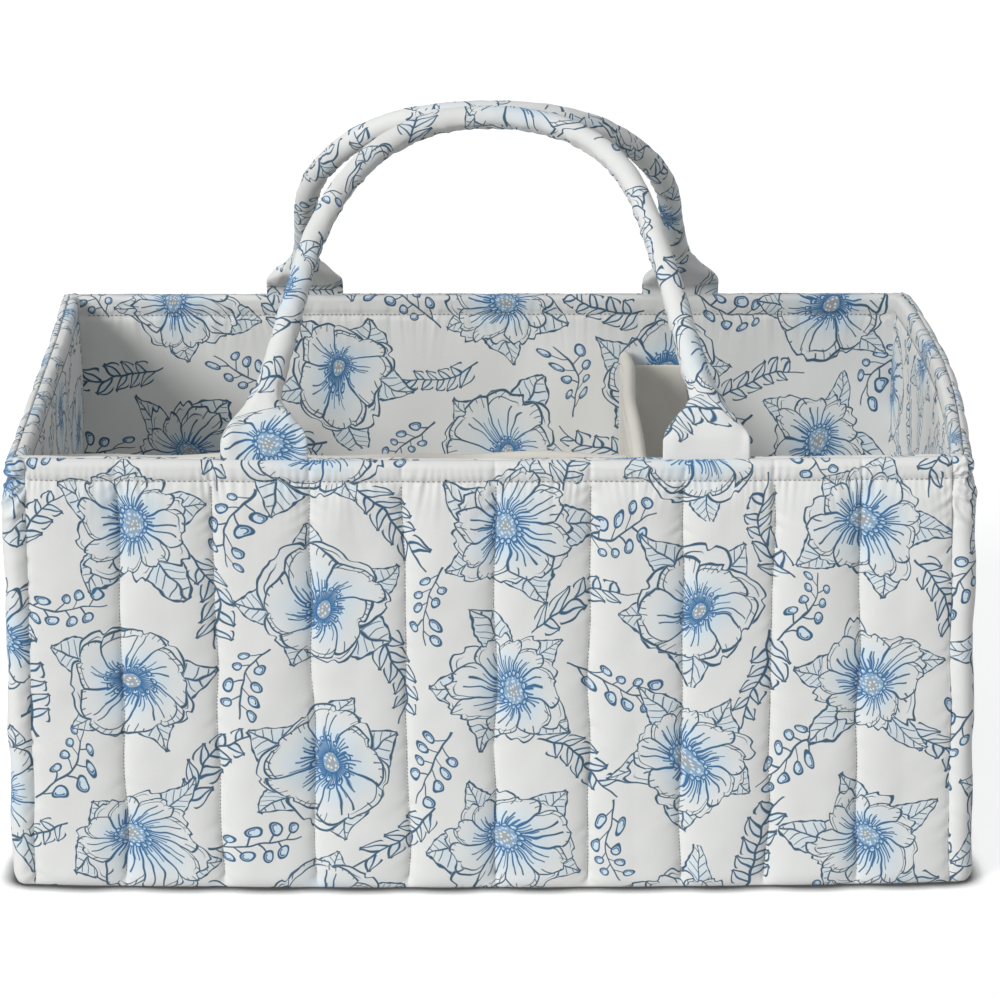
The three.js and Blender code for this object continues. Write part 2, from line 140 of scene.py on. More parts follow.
def joined(name, meshes, body, material):
    """One piece from several meshes."""
    whole = new_piece(name, meshes[0], body, material)
    for mesh in meshes[1:]:
        smooth_object(name, mesh, material).select_set(True)
    whole.select_set(True)
    bpy.context.view_layer.objects.active = whole
    bpy.ops.object.join()
    bpy.ops.object.select_all(action="DESELECT")
    return whole


def closed_loft(name, loops, lengths, around):
    """A closed solid through loops of points (station, point, xyz) in mm, with a cloth map in mm:
    lengths gives each station's place along the cloth, and around each point's place across it."""
    loops = np.asarray(loops, float)
    stations, count = loops.shape[:2]
    at = np.arange(stations * count).reshape(stations, count)
    a, b = at[:-1], at[1:]
    faces = np.stack([a, b, np.roll(b, -1, 1), np.roll(a, -1, 1)], 2).reshape(-1, 4)
    ends = [at[0].tolist(), at[-1][::-1].tolist()]
    mesh = bpy.data.meshes.new(name)
    mesh.from_pydata((loops.reshape(-1, 3) * MM).tolist(), [], faces.tolist() + ends)
    u = np.broadcast_to(np.asarray(lengths, float).reshape(stations, -1), (stations, count))
    v = np.broadcast_to(np.asarray(around, float), (stations, count + 1))
    cloth = np.stack([
        np.stack([u[:-1], v[:-1, :-1]], 2), np.stack([u[1:], v[1:, :-1]], 2),
        np.stack([u[1:], v[1:, 1:]], 2), np.stack([u[:-1], v[:-1, 1:]], 2),
    ], 2).reshape(-1, 4, 2)
    end_cloth = np.concatenate([
        np.stack([u[0], v[0, :-1]], 1), np.stack([u[-1], v[-1, :-1]], 1)[::-1]])
    layer = mesh.uv_layers.new(name="cloth")
    layer.uv.foreach_set("vector", (np.concatenate([cloth.reshape(-1, 2), end_cloth]) * MM).ravel())
    face_outwards(mesh)
    return mesh


def face_outwards(mesh):
    """Turns all faces over if the solid is inside out."""
    mesh.calc_loop_triangles()
    points = np.zeros(len(mesh.vertices) * 3)
    mesh.vertices.foreach_get("co", points)
    corners = np.zeros(len(mesh.loop_triangles) * 3, int)
    mesh.loop_triangles.foreach_get("vertices", corners)
    p, q, r = points.reshape(-1, 3)[corners.reshape(-1, 3)].transpose(1, 0, 2)
    if (p * np.cross(q, r)).sum() < 0:
        mesh.flip_normals()
    mesh.update()


def way_round(section):
    """Each point's place along the cloth round a closed section, and the length of the whole way round."""
    return running_length(np.concatenate([section, section[:1]]))


# The four walls. A wall's own frame has a along the wall, b inwards from its outer face, and z up.

quarter_turns = {"front": 0, "right": 1, "back": 2, "left": 3}
corner_arc = corner_radius * math.pi / 2
corner_flat = corner_return - corner_radius
side_length = 2 * (corner_flat + corner_arc + half_depth - corner_radius)
# Where each wall's cover was cut from the printed cloth
cloth_offsets = {"front": (31, 12), "right": (402, 40), "back": (671, 77), "left": (1042, 25)}


def is_long(wall):
    return wall in ("front", "back")


def wall_to_world(wall, a, b, z):
    turn = quarter_turns[wall]
    out = (half_depth if turn % 2 == 0 else half_width) - b
    x, y = [(a, -out), (out, a), (-a, out), (-out, -a)][turn]
    x, y, z = np.broadcast_arrays(x, y, z)
    if wall == "right":
        x = x + right_bow(y, z)
    return settled(x, y, z)


# The front seams lean a little, as they do in a soft caddy: how far each one is out of place at the rim and
# at the base, from the left edge to the right one
seam_places = [-half_width, *(-front_half + front_channel * np.arange(11)), half_width]
seam_lean_top = [0.3, 0.2, -1.0, -0.5, 1.2, 1.8, 1.7, 2.8, 3.3, 2.5, 0.0, -1.5, -1.5]
seam_lean_base = [-1.0, -0.8, -0.3, 1.6, 3.1, 3.8, 2.0, 2.7, 3.3, 2.0, 1.5, 2.8, 3.0]


def settled(x, y, z):
    """Where a point of a wall comes to lie in a soft caddy: seams out of true, a fuller foot in front, a
    sagging front rim and a raised back one."""
    up = np.clip(z / body_height, 0, 1)
    lean_top, lean_base = (np.interp(x, seam_places, leans) for leans in (seam_lean_top, seam_lean_base))
    lean = lean_top * up + lean_base * (1 - up)
    wander = 0.45 * waves(z + 0.5 * x, (43, 71), 8) * (1 - up * up)
    moved_x = x + (lean + wander) * ease((10 - y) / 120)
    foot = 5.5 * np.clip(1 - (x / 189) ** 2, 0, 1) ** 0.7 * (1 - up) ** 1.6
    moved_y = y - foot * np.clip((-y - 119.4) / 4, 0, 1)
    sag = front_sag * np.clip(1 - (x / half_width) ** 2, 0, 1) * ease((-y - 55) / 62)
    moved_z = z + up * (back_rise * ease((y - 55) / 62) - sag)
    return np.stack([moved_x, moved_y, moved_z], -1)


def right_bow(y, z):
    """How far the right wall's top leans out, as a soft wall does when its box is filled."""
    reach = np.where(y > 25, 102.0, 152.0)
    along = np.clip(1 - ((y - 25) / reach) ** 2, 0, 1)
    return 7.0 * along * np.clip(z / body_height, 0, 1.02) ** 1.7


def side_path(s):
    """A side cover's outer face, round the front corner, along the side and round the back one: its place in
    the wall's frame, the way outwards from it, and how thick the padding is there."""
    s = np.asarray(s, float)
    mirrored = s > side_length / 2
    t = np.where(mirrored, side_length - s, s)
    turn = np.clip((t - corner_flat) / corner_radius, 0, math.pi / 2)
    a = -half_depth + corner_radius * (1 - np.cos(turn)) + np.clip(t - corner_flat - corner_arc, 0, None)
    b = corner_return - np.clip(t, 0, corner_flat) - corner_radius * np.sin(turn)
    na, nb = -np.cos(turn), -np.sin(turn)
    sign = np.where(mirrored, -1, 1)
    thick = cover_thickness + (padding_inside - cover_thickness) * ease((t - corner_flat - corner_arc) / 4)
    thick = np.where(t < corner_flat + corner_arc, cover_thickness - 0.3, thick)
    return a * sign, b, na * sign, nb, thick


def front_path(s):
    """The same for the front and the back, which are flat."""
    s = np.asarray(s, float)
    return s - front_half, 0 * s, 0 * s, 0 * s - 1, 0 * s + padding_inside


def seams_of(wall):
    if is_long(wall):
        return np.arange(11) * front_channel
    middle, out = side_length / 2, np.array(side_seams)
    return np.array([0, *(middle - out[::-1]), *(middle + out), side_length])


def path_of(wall):
    return front_path if is_long(wall) else side_path


def seam_wander(number, z):
    """How far a seam strays from its straight line."""
    return 0.45 * waves(z + 40 * number, (57, 93), 3)


def seam_distance(wall, s, z):
    """The distance to the nearest upright seam, and which one it is."""
    seams = seams_of(wall)
    column = (-1, *[1] * z.ndim)
    wander = seam_wander(np.arange(len(seams)).reshape(column), z[None, ...])
    wander[0], wander[-1] = 0, 0
    gaps = np.abs(s[None, ...] - seams.reshape(column) - wander)
    return gaps.min(0), gaps.argmin(0)


def hem_line(share):
    """The height of the stitched row under the rim: share runs from -1 to 1 along a wall."""
    return hem_height + 0.3 * (1 - share ** 2)


def pleats(s, seed):
    """Small upright folds where stitches gather the cloth, about 3 mm apart, from -1 to 1."""
    return np.sin(2 * np.pi * (s / 3.1 + 0.42 * waves(s, (17, 23, 37), seed)))


def quilt_depth(wall, s, z):
    """How far a quilted cover lies below its highest crown, at s along the cloth and height z."""
    seed = 11 * quarter_turns[wall]
    s, z = np.broadcast_arrays(np.asarray(s, float), np.asarray(z, float))
    gap, which = seam_distance(wall, s, z)
    seams = seams_of(wall)
    length = seams[-1]
    end_seam = (which == 0) | (which == len(seams) - 1)
    reach = np.where(end_seam & (not is_long(wall)), 7.0, front_channel / 2)
    away = np.clip(1 - gap / reach, 0, 1)
    number = np.floor(s / front_channel)
    fullness = 0.28 * np.sin(number * 2.3 + seed)
    crown = (channel_depth - np.where(end_seam, 1.3, 0)) * away ** 3 + fullness * (1 - away) ** 2 - 0.4
    crown = crown + 0.3 * mottle(s, z, 48, seed + 1) + 0.13 * mottle(s, z, 15, seed + 2)
    # Small tucks that the stitches pull into the cloth beside each seam
    tucks = waves(z + 0.55 * gap + 17 * which, (4.7, 6.1, 8.3), seed + 3)
    crown = crown + np.where(end_seam, 0.62, 0.5) * tucks * np.exp(-gap / 3.6) * (1 - hump(gap, 0.6))
    crown = crown + np.where(end_seam, 0.7, 1.1) * np.exp(-gap / 1.0)
    # The hem is stitched flat, and gathers the cloth above and below its row of stitches
    stitched = hem_line(2 * s / length - 1)
    below, above = np.clip(stitched - z, 0, None), np.clip(z - stitched, 0, None)
    lean = s + 0.16 * (z - stitched) * waves(s, (31, 47), seed + 4)
    strength = 0.75 + 0.35 * waves(s, (27, 41), seed + 6)
    folds = pleats(lean, seed + 5)
    broad = 0.28 * waves(lean, (6.1, 9.7), seed + 9) * np.exp(-below / 10)
    gather = strength * np.where(
        z < stitched, 0.36 * folds * np.exp(-below / 7) + broad, 0.32 * folds * np.exp(-above / 5))
    hem = 1.25 + 0.7 * away ** 2
    rim = 0.7 + 0.8 * away ** 3 + 0.5 * hump(gap, 0.8)
    depth = np.where(
        z < stitched,
        hem + (crown - hem) * ease(below / 8.5) ** 0.7,
        hem + (rim - hem) * ease(above / 3.2) ** 0.8)
    depth = depth + gather * (1 - 0.6 * hump(z - stitched, 0.5)) + 0.7 * np.exp(-np.abs(z - stitched) / 0.8)
    # The bottom edge is drawn in a little at each seam
    depth = depth + 0.6 * away ** 3 * np.clip(1 - z / 12, 0, 1)
    if not is_long(wall):
        depth = depth + corner_folds(np.minimum(s, length - s), z, seed)
    return depth


def corner_folds(t, z, seed):
    """The cloth bunched over an upright corner, at t from the cover's end: folds that fan out from where the
    hem's stitches end, and softer ones below."""
    up = z - hem_height
    near = hump(t - 4.5, 5.5)
    reach = np.hypot(t, 0.7 * up)
    fan = np.sin(15 * np.arctan2(up, t + 2.5) + 1.1 * waves(z + t, (7, 11), seed + 7) + seed)
    folds = waves(z + 0.5 * t, (4.3, 6.1, 8.9), seed + 8)
    fading = np.exp(-np.clip(-up - 12, 0, None) / 14) * ease((-up - 4) / 4)
    gathered = near * (0.9 * hump(up, 1.6) - hump(z - 175.5, 3.8) + 0.65 * folds * fading)
    return gathered + 0.9 * fan * hump(reach - 7, 6) + 0.9 * hump(reach, 2.4)


def wall_profile(thick):
    """A cover's section from its foot up and round its hidden back: each point's depth and height, which way
    the quilting moves it, inwards and upwards, and how much of the quilting it takes."""
    points = []
    bottom_deep, bottom_high = 2.6, 6.0
    for turn in np.linspace(0, math.pi / 2, 8):
        c, s = math.cos(turn), math.sin(turn)
        points.append((bottom_deep * (1 - s), bottom_high * (1 - c), s, c * 0.35, s))
    for z in [*np.arange(8, 146, 1.9), *np.arange(147, 164.6, 0.9), *np.arange(165, rim_start, 0.5)]:
        points.append((0, z, 1, 0, 1))
    for turn in np.linspace(0, math.pi / 2, 8):
        c, s = math.cos(turn), math.sin(turn)
        points.append((rim_radius * (1 - c), rim_start + rim_radius * s, c, -s, 1 - 0.5 * turn))
    tucked = body_height - 1.6
    hidden = [(seam_depth - 0.1, tucked + 0.8), (seam_depth, tucked),
              (thick, tucked), (thick, 120), (thick, 60), (thick, 0.3)]
    return np.array(points + [(*place, 0, 0, 0) for place in hidden])


def channel_stations(wall):
    """Places along a cover, closer together at its seams."""
    seams = seams_of(wall)
    t = np.linspace(0, 1, 56, endpoint=False)
    t = t - 0.35 * np.sin(2 * np.pi * t) / (2 * np.pi)
    channels = [left + (right - left) * t for left, right in zip(seams[:-1], seams[1:])]
    stations = np.concatenate([*channels, [seams[-1]]])
    if is_long(wall):
        # The ends are sewn on to the side covers
        stations[0], stations[-1] = -0.4, seams[-1] + 0.4
    return stations


def wall_quilt(wall):
    s = channel_stations(wall)
    a, b, na, nb, thick = (values[:, None] for values in path_of(wall)(s))
    profile = wall_profile(padding_inside)
    depth, height, inwards, upwards, share = profile.T
    back = depth == padding_inside
    deep = np.where(back, thick, np.minimum(depth, thick - 0.05))
    rise = np.broadcast_to(height, deep.shape)
    give = share * quilt_depth(wall, s[:, None], rise)
    deep = deep + give * inwards
    deep = np.where(back, deep, np.minimum(deep, thick - 0.02))
    z = np.maximum(rise + give * upwards, 0)
    loops = wall_to_world(wall, a - na * deep, b - nb * deep, z)
    along, up = cloth_offsets[wall]
    return closed_loft(f"{wall}_quilt", loops, s + along, way_round(profile[:, :2]) + up)


def quilt_surface(wall, s, z):
    """Points on a quilt's upright face."""
    s, z = np.broadcast_arrays(np.asarray(s, float), np.asarray(z, float))
    a, b, na, nb, _ = path_of(wall)(s)
    deep = quilt_depth(wall, s, z)
    return wall_to_world(wall, a - na * deep, b - nb * deep, z)


def lining_half(wall):
    """Half a lining's width. The long linings run from corner to corner, and the side ones between them."""
    return 185.6 if is_long(wall) else 118.4


def lining_depth(wall, a, z):
    """How far a wall's lining stands off its flat, towards the wall."""
    seed = 200 + 13 * quarter_turns[wall]
    stitched = hem_line(a / lining_half(wall))
    lean = a + 0.2 * (z - stitched) * waves(a, (31, 47), seed)
    gathers = 0.16 * pleats(lean, seed + 1) + 0.3 * waves(lean, (5.9, 9.1, 12.3), seed + 4)
    down = np.abs(z - stitched)
    gather = gathers * np.exp(-down / np.where(z < stitched, 9, 4)) * (1 - hump(down, 0.5))
    soft = 0.5 * mottle(a, z * 0.7, 70, seed + 2) * ease((hem_height - z) / 30)
    folds = 0.35 * waves(a + 0.2 * z, (37, 61), seed + 3) * ease((hem_height - z) / 25)
    return np.clip(0.75 * hump(z - stitched, 1.6) + gather + soft + folds, -1.6, 0.9)


def wall_lining(wall):
    half = lining_half(wall)
    a = np.linspace(-half, half, int(half / 0.42))
    against_padding, against_cover, foot = padding_inside + 0.3, seam_depth + 0.3, 8.1
    # Each point's depth and height, how much of it faces inwards, and whether it shows
    points = [(against_padding, foot, 0, 0), (against_padding, 90, 0, 0), (against_padding, 176.6, 0, 0),
              (against_cover, 176.6, 0, 0), (seam_depth + 0.12, 177.1, 0, 0), (against_cover, 177.75, 0, 0)]
    turn_radius = 2.6
    for turn in np.linspace(0, math.pi / 2, 7):
        c, s = math.cos(turn), math.sin(turn)
        points.append((wall_thickness - turn_radius * (1 - s), body_height - turn_radius * (1 - c), s, 1))
    for z in [*np.arange(174.6, 158, -0.8), *np.arange(157, 9, -3.2), foot]:
        points.append((wall_thickness, z, 1, 1))
    profile = np.array(points)
    depth, height, inwards, shown = profile.T
    deep = depth - lining_depth(wall, a[:, None], height) * shown * inwards
    rise = height - 0.25 * (1 + waves(a, (19, 36), 5))[:, None] * shown * (1 - inwards)
    loops = wall_to_world(wall, a[:, None], deep, rise)
    along, up = cloth_offsets[wall]
    return closed_loft(f"{wall}_lining", loops, a + 57 + along, way_round(profile[:, :2]) + 140 + up)


# Stitches: one thread pill is modelled once and copied along each row

def lowest_first(corners):
    """A face's corners, turned so that the lowest number comes first."""
    first = corners.index(min(corners))
    return tuple(corners[first:] + corners[:first])


def thread_pill():
    """The points and faces of a small ball, with its poles along x. Blender lists a ball's faces in another
    order on each run, so they are sorted."""
    bpy.ops.mesh.primitive_uv_sphere_add(
        segments=6, ring_count=4, radius=1, location=(0, 0, 0), rotation=(0, math.pi / 2, 0))
    pill = bpy.context.object
    bpy.ops.object.transform_apply(rotation=True)
    points = np.array([v.co[:] for v in pill.data.vertices])
    faces = sorted(lowest_first(list(p.vertices)) for p in pill.data.polygons)
    bpy.data.objects.remove(pill)
    return points, faces


def stitches(name, rows):
    """Each row gives its stitches' middles in mm, the way they run, the way out of the cloth, and half their
    length."""
    thread_wide, thread_high, raised = 0.28, 0.24, 0.26
    pill, faces = thread_pill()
    points, polygons = [], []
    for middle, along, outward, half_long in rows:
        across = np.cross(outward, along)
        for m, t, w, n in zip(middle, along, across, outward):
            start = len(points) * len(pill)
            points.append(m + half_long * pill[:, :1] * t + thread_wide * pill[:, 1:2] * w
                          + (thread_high * pill[:, 2:] + raised) * n)
            polygons += [tuple(i + start for i in face) for face in faces]
    mesh = bpy.data.meshes.new(name)
    mesh.from_pydata((np.concatenate(points) * MM).tolist(), [], polygons)
    mesh.update()
    return mesh


def stitch_row(surface, start, end, facing, pitch=2.0):
    """One row of stitches over a surface, between two places (s, z) on it. facing is -1 outside a wall."""
    start, end = np.array(start, float), np.array(end, float)
    length = np.linalg.norm(end - start)
    count = int(length / pitch)
    place = start + (end - start) * ((np.arange(count) + 0.5) / count)[:, None]
    step = (end - start) / length
    side = np.array([step[1], -step[0]])

    def at(p):
        return surface(p[:, 0], p[:, 1])

    middle = at(place)
    along = unit(at(place + step) - at(place - step))
    across = at(place + side * 1.5) - at(place - side * 1.5)
    return middle, along, facing * unit(np.cross(along, across)), pitch * 0.35


def wall_stitches(wall):
    """The row under the rim outside, a row down each seam, and the row under the rim inside."""
    seams = seams_of(wall)

    def hem(s, z):
        return quilt_surface(wall, s, z + hem_line(2 * s / seams[-1] - 1))

    def lining_hem(a, z):
        z = z + hem_line(a / lining_half(wall))
        return wall_to_world(wall, a, wall_thickness - lining_depth(wall, a, z), z)

    rows = [stitch_row(hem, (seams[0] + 1, 0), (seams[-1] - 1, 0), facing=-1)]
    for number, seam in enumerate(seams[1:-1], 1):
        def down_seam(s, z, number=number):
            return quilt_surface(wall, s + seam_wander(number, z), z)

        rows.append(stitch_row(down_seam, (seam, 4), (seam, hem_height - 1.5), facing=-1, pitch=1.5))
    half = 178.0 if is_long(wall) else 116.0
    rows.append(stitch_row(lining_hem, (-half, 0), (half, 0), facing=1))
    return stitches(f"{wall}_stitches", rows)


# Handles: a stuffed tube from neck to neck, flattened into a tab at each foot

# sign: 1 in front and -1 behind. fold_depth: how far from the middle the handle folds. lean: how far it
# leans over. drop: how far its fold sags with its wall. foot: half the distance between its feet. shoulder:
# half its width there. turn_in: how steeply it turns in there. top: its height along its plane. foot_shift,
# top_shift: how far these lie off the middle, as it is soft. shift_from: the height where the first shift
# begins to pass into the second. longer: how much longer its tabs are. seed, crushed: its wrinkles, and how
# deep they are. cloth_start: where it was cut from the printed cloth.
handle_forms = {
    "front": SimpleNamespace(
        sign=1, fold_depth=126.0, lean=math.radians(47.6), drop=1.2, foot=86.15, shoulder=64.6, turn_in=0.35,
        top=161.5, foot_shift=-2.0, top_shift=0.8, shift_from=90, longer=0.0, seed=400, crushed=0.34,
        cloth_start=1500),
    "back": SimpleNamespace(
        sign=-1, fold_depth=126.0, lean=math.radians(48.47), drop=0.0, foot=83.65, shoulder=68.6, turn_in=0.5,
        top=162.5, foot_shift=2.8, top_shift=0.3, shift_from=20, longer=5.0, seed=500, crushed=0.55,
        cloth_start=2100),
}


def handle_axes(form):
    """The handle's own frame: out along its plane, square to it on the outside, and its fold's middle."""
    slant = np.array([0, form.sign * math.sin(form.lean), math.cos(form.lean)])
    facing = np.array([0, -form.sign * math.cos(form.lean), math.sin(form.lean)])
    fold = np.array([0, -form.sign * form.fold_depth, fold_height - form.drop])
    return slant, facing, fold


def bezier(points, steps, last=False):
    """Places along a cubic curve, with its last point where asked."""
    t = np.linspace(0, 1, steps + 1)[: None if last else -1, None]
    a, b, c, d = np.array(points, float)
    return a * (1 - t) ** 3 + 3 * b * t * (1 - t) ** 2 + 3 * c * t * t * (1 - t) + d * t ** 3


def arch_line(form):
    """The tube's middle line in the handle's plane, as (across, up) from the left neck to the right one."""
    neck_high, shoulder_high = tab_length + form.longer, 113.0 + form.longer
    leg_pull, top_pull = (shoulder_high - neck_high) / 3, (form.top - shoulder_high) / 2
    foot, shoulder, top, turn_in = -form.foot, -form.shoulder, form.top, form.turn_in
    leg = [(foot, neck_high), (foot + 0.27 * leg_pull, neck_high + leg_pull),
           (shoulder - turn_in * leg_pull, shoulder_high - leg_pull), (shoulder, shoulder_high)]
    crown = [(shoulder, shoulder_high), (shoulder + turn_in * top_pull, shoulder_high + top_pull),
             (0.61 * shoulder, top), (0, top)]
    left = np.concatenate([bezier(leg, 60), bezier(crown, 60, True)])
    line = np.concatenate([left, left[-2::-1] * [-1, 1]])
    steps = running_length(line)
    even = np.linspace(0, steps[-1], int(steps[-1] / 1.9))
    across, up = np.interp(even, steps, line[:, 0]), np.interp(even, steps, line[:, 1])
    shift = form.foot_shift + (form.top_shift - form.foot_shift) * ease((up - form.shift_from) / 60)
    return np.stack([across + shift, up], 1)


def handle_section(height):
    """A handle's half width, half thickness and squareness at a height over its fold: a flat tab, a neck and
    a tube."""
    radius = neck_radius + (tube_radius - neck_radius) * ease((height - 30) / 60)
    wide = tab_half - (tab_half - radius) * ease((height - 5) / 24)
    flat = 0.9 + 1.7 * ease((height - 1) / 9)
    thick = min(flat + (radius - 2.6) * ease((height - 9) / 18), radius)
    return wide, thick, 5.0 - 3.0 * ease((height - 6) / 20)


def handle_sections(form):
    """The middle of each section from foot to foot, with its half width, half thickness and squareness."""
    slant, facing, fold = handle_axes(form)
    # Up out of the rim's seam, then leaning over into the tab
    root_end = 9.5
    rise = np.array([0, -form.sign * (half_depth - 4.9), fold[2] - 12.76])
    lean_from = fold + root_end * slant
    root = bezier([rise, rise + [0, 0, 9], lean_from - 6.5 * slant, lean_from], 14)
    tab_heights = np.linspace(root_end, tab_length + form.longer, 12)[:-1]
    foot_line = np.concatenate([root, fold + tab_heights[:, None] * slant])
    heights = np.concatenate([np.linspace(-12, root_end, 15)[:-1], tab_heights])
    left, right = (foot_line + [form.foot_shift + which * form.foot, 0, 0] for which in (-1, 1))
    # The two arches lean on each other
    u, w = arch_line(form).T[..., None]
    arch = fold + u * [1, 0, 0] + w * slant - 0.9 * ease((w - 90) / 70) * facing
    heights = np.concatenate([heights, w[:, 0], heights[::-1]]) - form.longer
    return np.concatenate([left, arch, right[::-1]]), np.array([handle_section(height) for height in heights])


def handle_mesh(side):
    form = handle_forms[side]
    _, facing, _ = handle_axes(form)
    middle, sections = handle_sections(form)
    width, thick, square = sections.T[..., None]
    tangent = unit(np.gradient(middle, axis=0))
    # In the root the cloth stands upright, so its face turns towards the outside
    across = unit(facing - (facing * tangent).sum(1, keepdims=True) * tangent)
    wide = np.cross(across, tangent)
    distance = running_length(middle)
    along = distance[:, None]
    count = 36
    turn = (np.arange(count) / count + 0.5) * 2 * np.pi  # from the inner side, where the sleeve is sewn shut
    round_tube = turn * tube_radius
    cos, sin = np.cos(turn), np.sin(turn)
    power = 2 / square
    out_wide = width * np.sign(cos) * np.abs(cos) ** power
    out_flat = thick * np.sign(sin) * np.abs(sin) ** np.minimum(power + 0.1, 1)
    from_foot = np.minimum(along, distance[-1] - along) - form.longer
    tube_share = ease((from_foot - 24) / 16)
    # Small tucks along the inner seam, lumps, soft spiral wrinkles, and gathers at each neck
    seed = form.seed
    facing_in = inner_side(cos, wide, middle)
    tucks = waves(along + 2 * sin, (4.3, 5.7, 7.9, 11.3), seed) * np.clip(facing_in, 0, 1) ** 1.5
    lumps = mottle(along, round_tube, 26, seed + 1)
    gathers = waves(round_tube + 0.1 * along, (3.1, 4.4, 6.1), seed + 2) * hump(from_foot - 38, 9)
    spiral = waves(along + 5.5 * turn, (9.3, 13.7, 21.1), seed + 6)
    seam = hump(facing_in - 1, 0.05)
    outwards = 0.16 * lumps + 0.14 * spiral - form.crushed * tucks - 0.42 * gathers - 0.34 * seam
    swell = 1 + tube_share * outwards / tube_radius
    # A tab is flat cloth with a few soft folds down it
    folds = waves(out_wide + 0.1 * along, (7.3, 10.9, 15.1), seed + 3)
    folds = folds * (1 - tube_share) * ease((from_foot - 6) / 12)
    out_flat = out_flat + 0.55 * folds * np.sign(sin) * np.minimum(1, np.abs(out_flat))
    points = (middle[:, None] + (out_wide * swell)[..., None] * wide[:, None]
              + (out_flat * swell)[..., None] * across[:, None])
    around = np.array([way_round(ring) for ring in points])
    around = around - around[:, count // 4:count // 4 + 1]
    return closed_loft(f"{side}_handle", points, distance + form.cloth_start, around + 60)


def inner_side(cos, wide, middle):
    """1 where a tube's surface faces the middle of its arch, -1 where it faces away."""
    x = middle[:, 0]
    sign = np.where(np.abs(x) < 55, -np.sign(wide[:, 2]), -np.sign(x) * np.sign(wide[:, 0]))
    return cos * sign[:, None]


# Dividers: plain cloth over a board, with a flap at each end

def divider_mesh(name, start, end, flap_side, seed):
    """start and end are the divider's ends on plan; flap_side is the way its flaps turn."""
    start, end, flap_side = (np.array(v, float) for v in (start, end, flap_side))
    length = np.linalg.norm(end - start)
    way = (end - start) / length
    side = np.array([-way[1], way[0]])
    low, high = 9.6, 158.0
    half_thick, top_radius, round_end = 2.75, 3.0, 2.4
    t = np.linspace(0, 1, int(length / round_end))
    along = np.concatenate([[0, 0.4, 1.2], round_end + (length - 2 * round_end) * t,
                            [length - 1.2, length - 0.4, length]])
    from_end = np.clip(np.minimum(along, length - along) / round_end, 0, 1)
    end_share = np.sqrt(np.clip(1 - (1 - from_end) ** 2, 0.02, 1))[:, None]
    heights = [*np.arange(low + 2, high - 14, 3.4), *np.arange(high - 14, high - top_radius, 0.9)]
    turns = np.linspace(0, math.pi, 11)
    over = np.stack([np.cos(turns), high - top_radius * (1 - np.sin(turns))], 1)
    up, down = [(1.0, z) for z in heights], [(-1.0, z) for z in heights[::-1]]
    profile = np.array([*up, *over, *down, (-0.8, low), (0.8, low)])
    face, z = profile.T
    a = along[:, None]
    from_side = np.minimum(a, length - a)
    puff = 0.5 * ease(from_side / 25) * ease((high - z) / 25) * ease((z - low) / 25)
    # A seam runs under the top edge, and pulls small tucks into the cloth
    from_seam = z - (high - 6.5)
    seam = 0.8 * hump(from_seam, 1.1)
    tucks = 0.3 * waves(a + 0.3 * z, (6.1, 8.7, 12.3), seed) * np.exp(-np.abs(from_seam) / 5)
    soft = 0.35 * mottle(a, z, 55, seed + 1)
    half = (half_thick + puff + (tucks + soft) * np.sign(face) * 0.8 - seam) * end_share
    bow = np.sin(np.pi * a / length * 2.0 + seed) * ease(z / high) + 0.5 * waves(a, (90, 140), seed + 2)
    top_sag = (0.8 * waves(a, (60, 110), seed + 3) - 0.5) * ease((z - high + 14) / 14)
    across = face * half + bow * ease(from_side / 30)
    xy = start + a[..., None] * way + across[..., None] * side
    points = np.concatenate([xy, (z + top_sag)[..., None]], 2)
    meshes = [closed_loft(name, points, along + 10 * seed, way_round(profile * [top_radius, 1]))]
    for place, inward in ((start, way), (end, -way)):
        meshes.append(flap_mesh(f"{name}_flap", place, inward, flap_side, seed + 7))
    return meshes


def flap_mesh(name, place, inward, out, seed):
    """A sewn flap that turns off the divider's end, along the wall it is fixed to."""
    reach = 28.0
    low, high = 17.6, 150.0
    zs = np.concatenate([[low, low + 0.5], np.linspace(low + 1.6, high - 1.6, 44), [high - 0.5, high]])
    steps = np.linspace(0, 1, 16)
    loops = []
    for z in zs:
        edge = math.sqrt(max(0.04, 1 - (1 - min(min(z - low, high - z) / 1.6, 1)) ** 2))
        top, under = [], []
        for t in steps:
            run = 1.0 + (reach - 1.0) * t
            drop = 0.6 + 2.0 * max(0, 1 - t * 4) ** 2
            thick = 0.6 * edge * math.sqrt(max(0.05, 1 - max(0, t * 16 - 15) ** 2))
            stitch = 0.25 * math.exp(-((reach - run - 2.2) / 0.7) ** 2)
            soft = 0.12 * float(mottle(np.array(run), np.array(z), 19, seed))
            middle = place + run * out + drop * inward
            top.append([*(middle + (thick - stitch + soft) * inward), z])
            under.append([*(middle - thick * inward), z])
        loops.append(top + under[::-1])
    return closed_loft(name, loops, zs, np.concatenate([steps * reach, reach + steps * reach, [2 * reach]]))


# Base: the floor lining inside and the cloth underneath

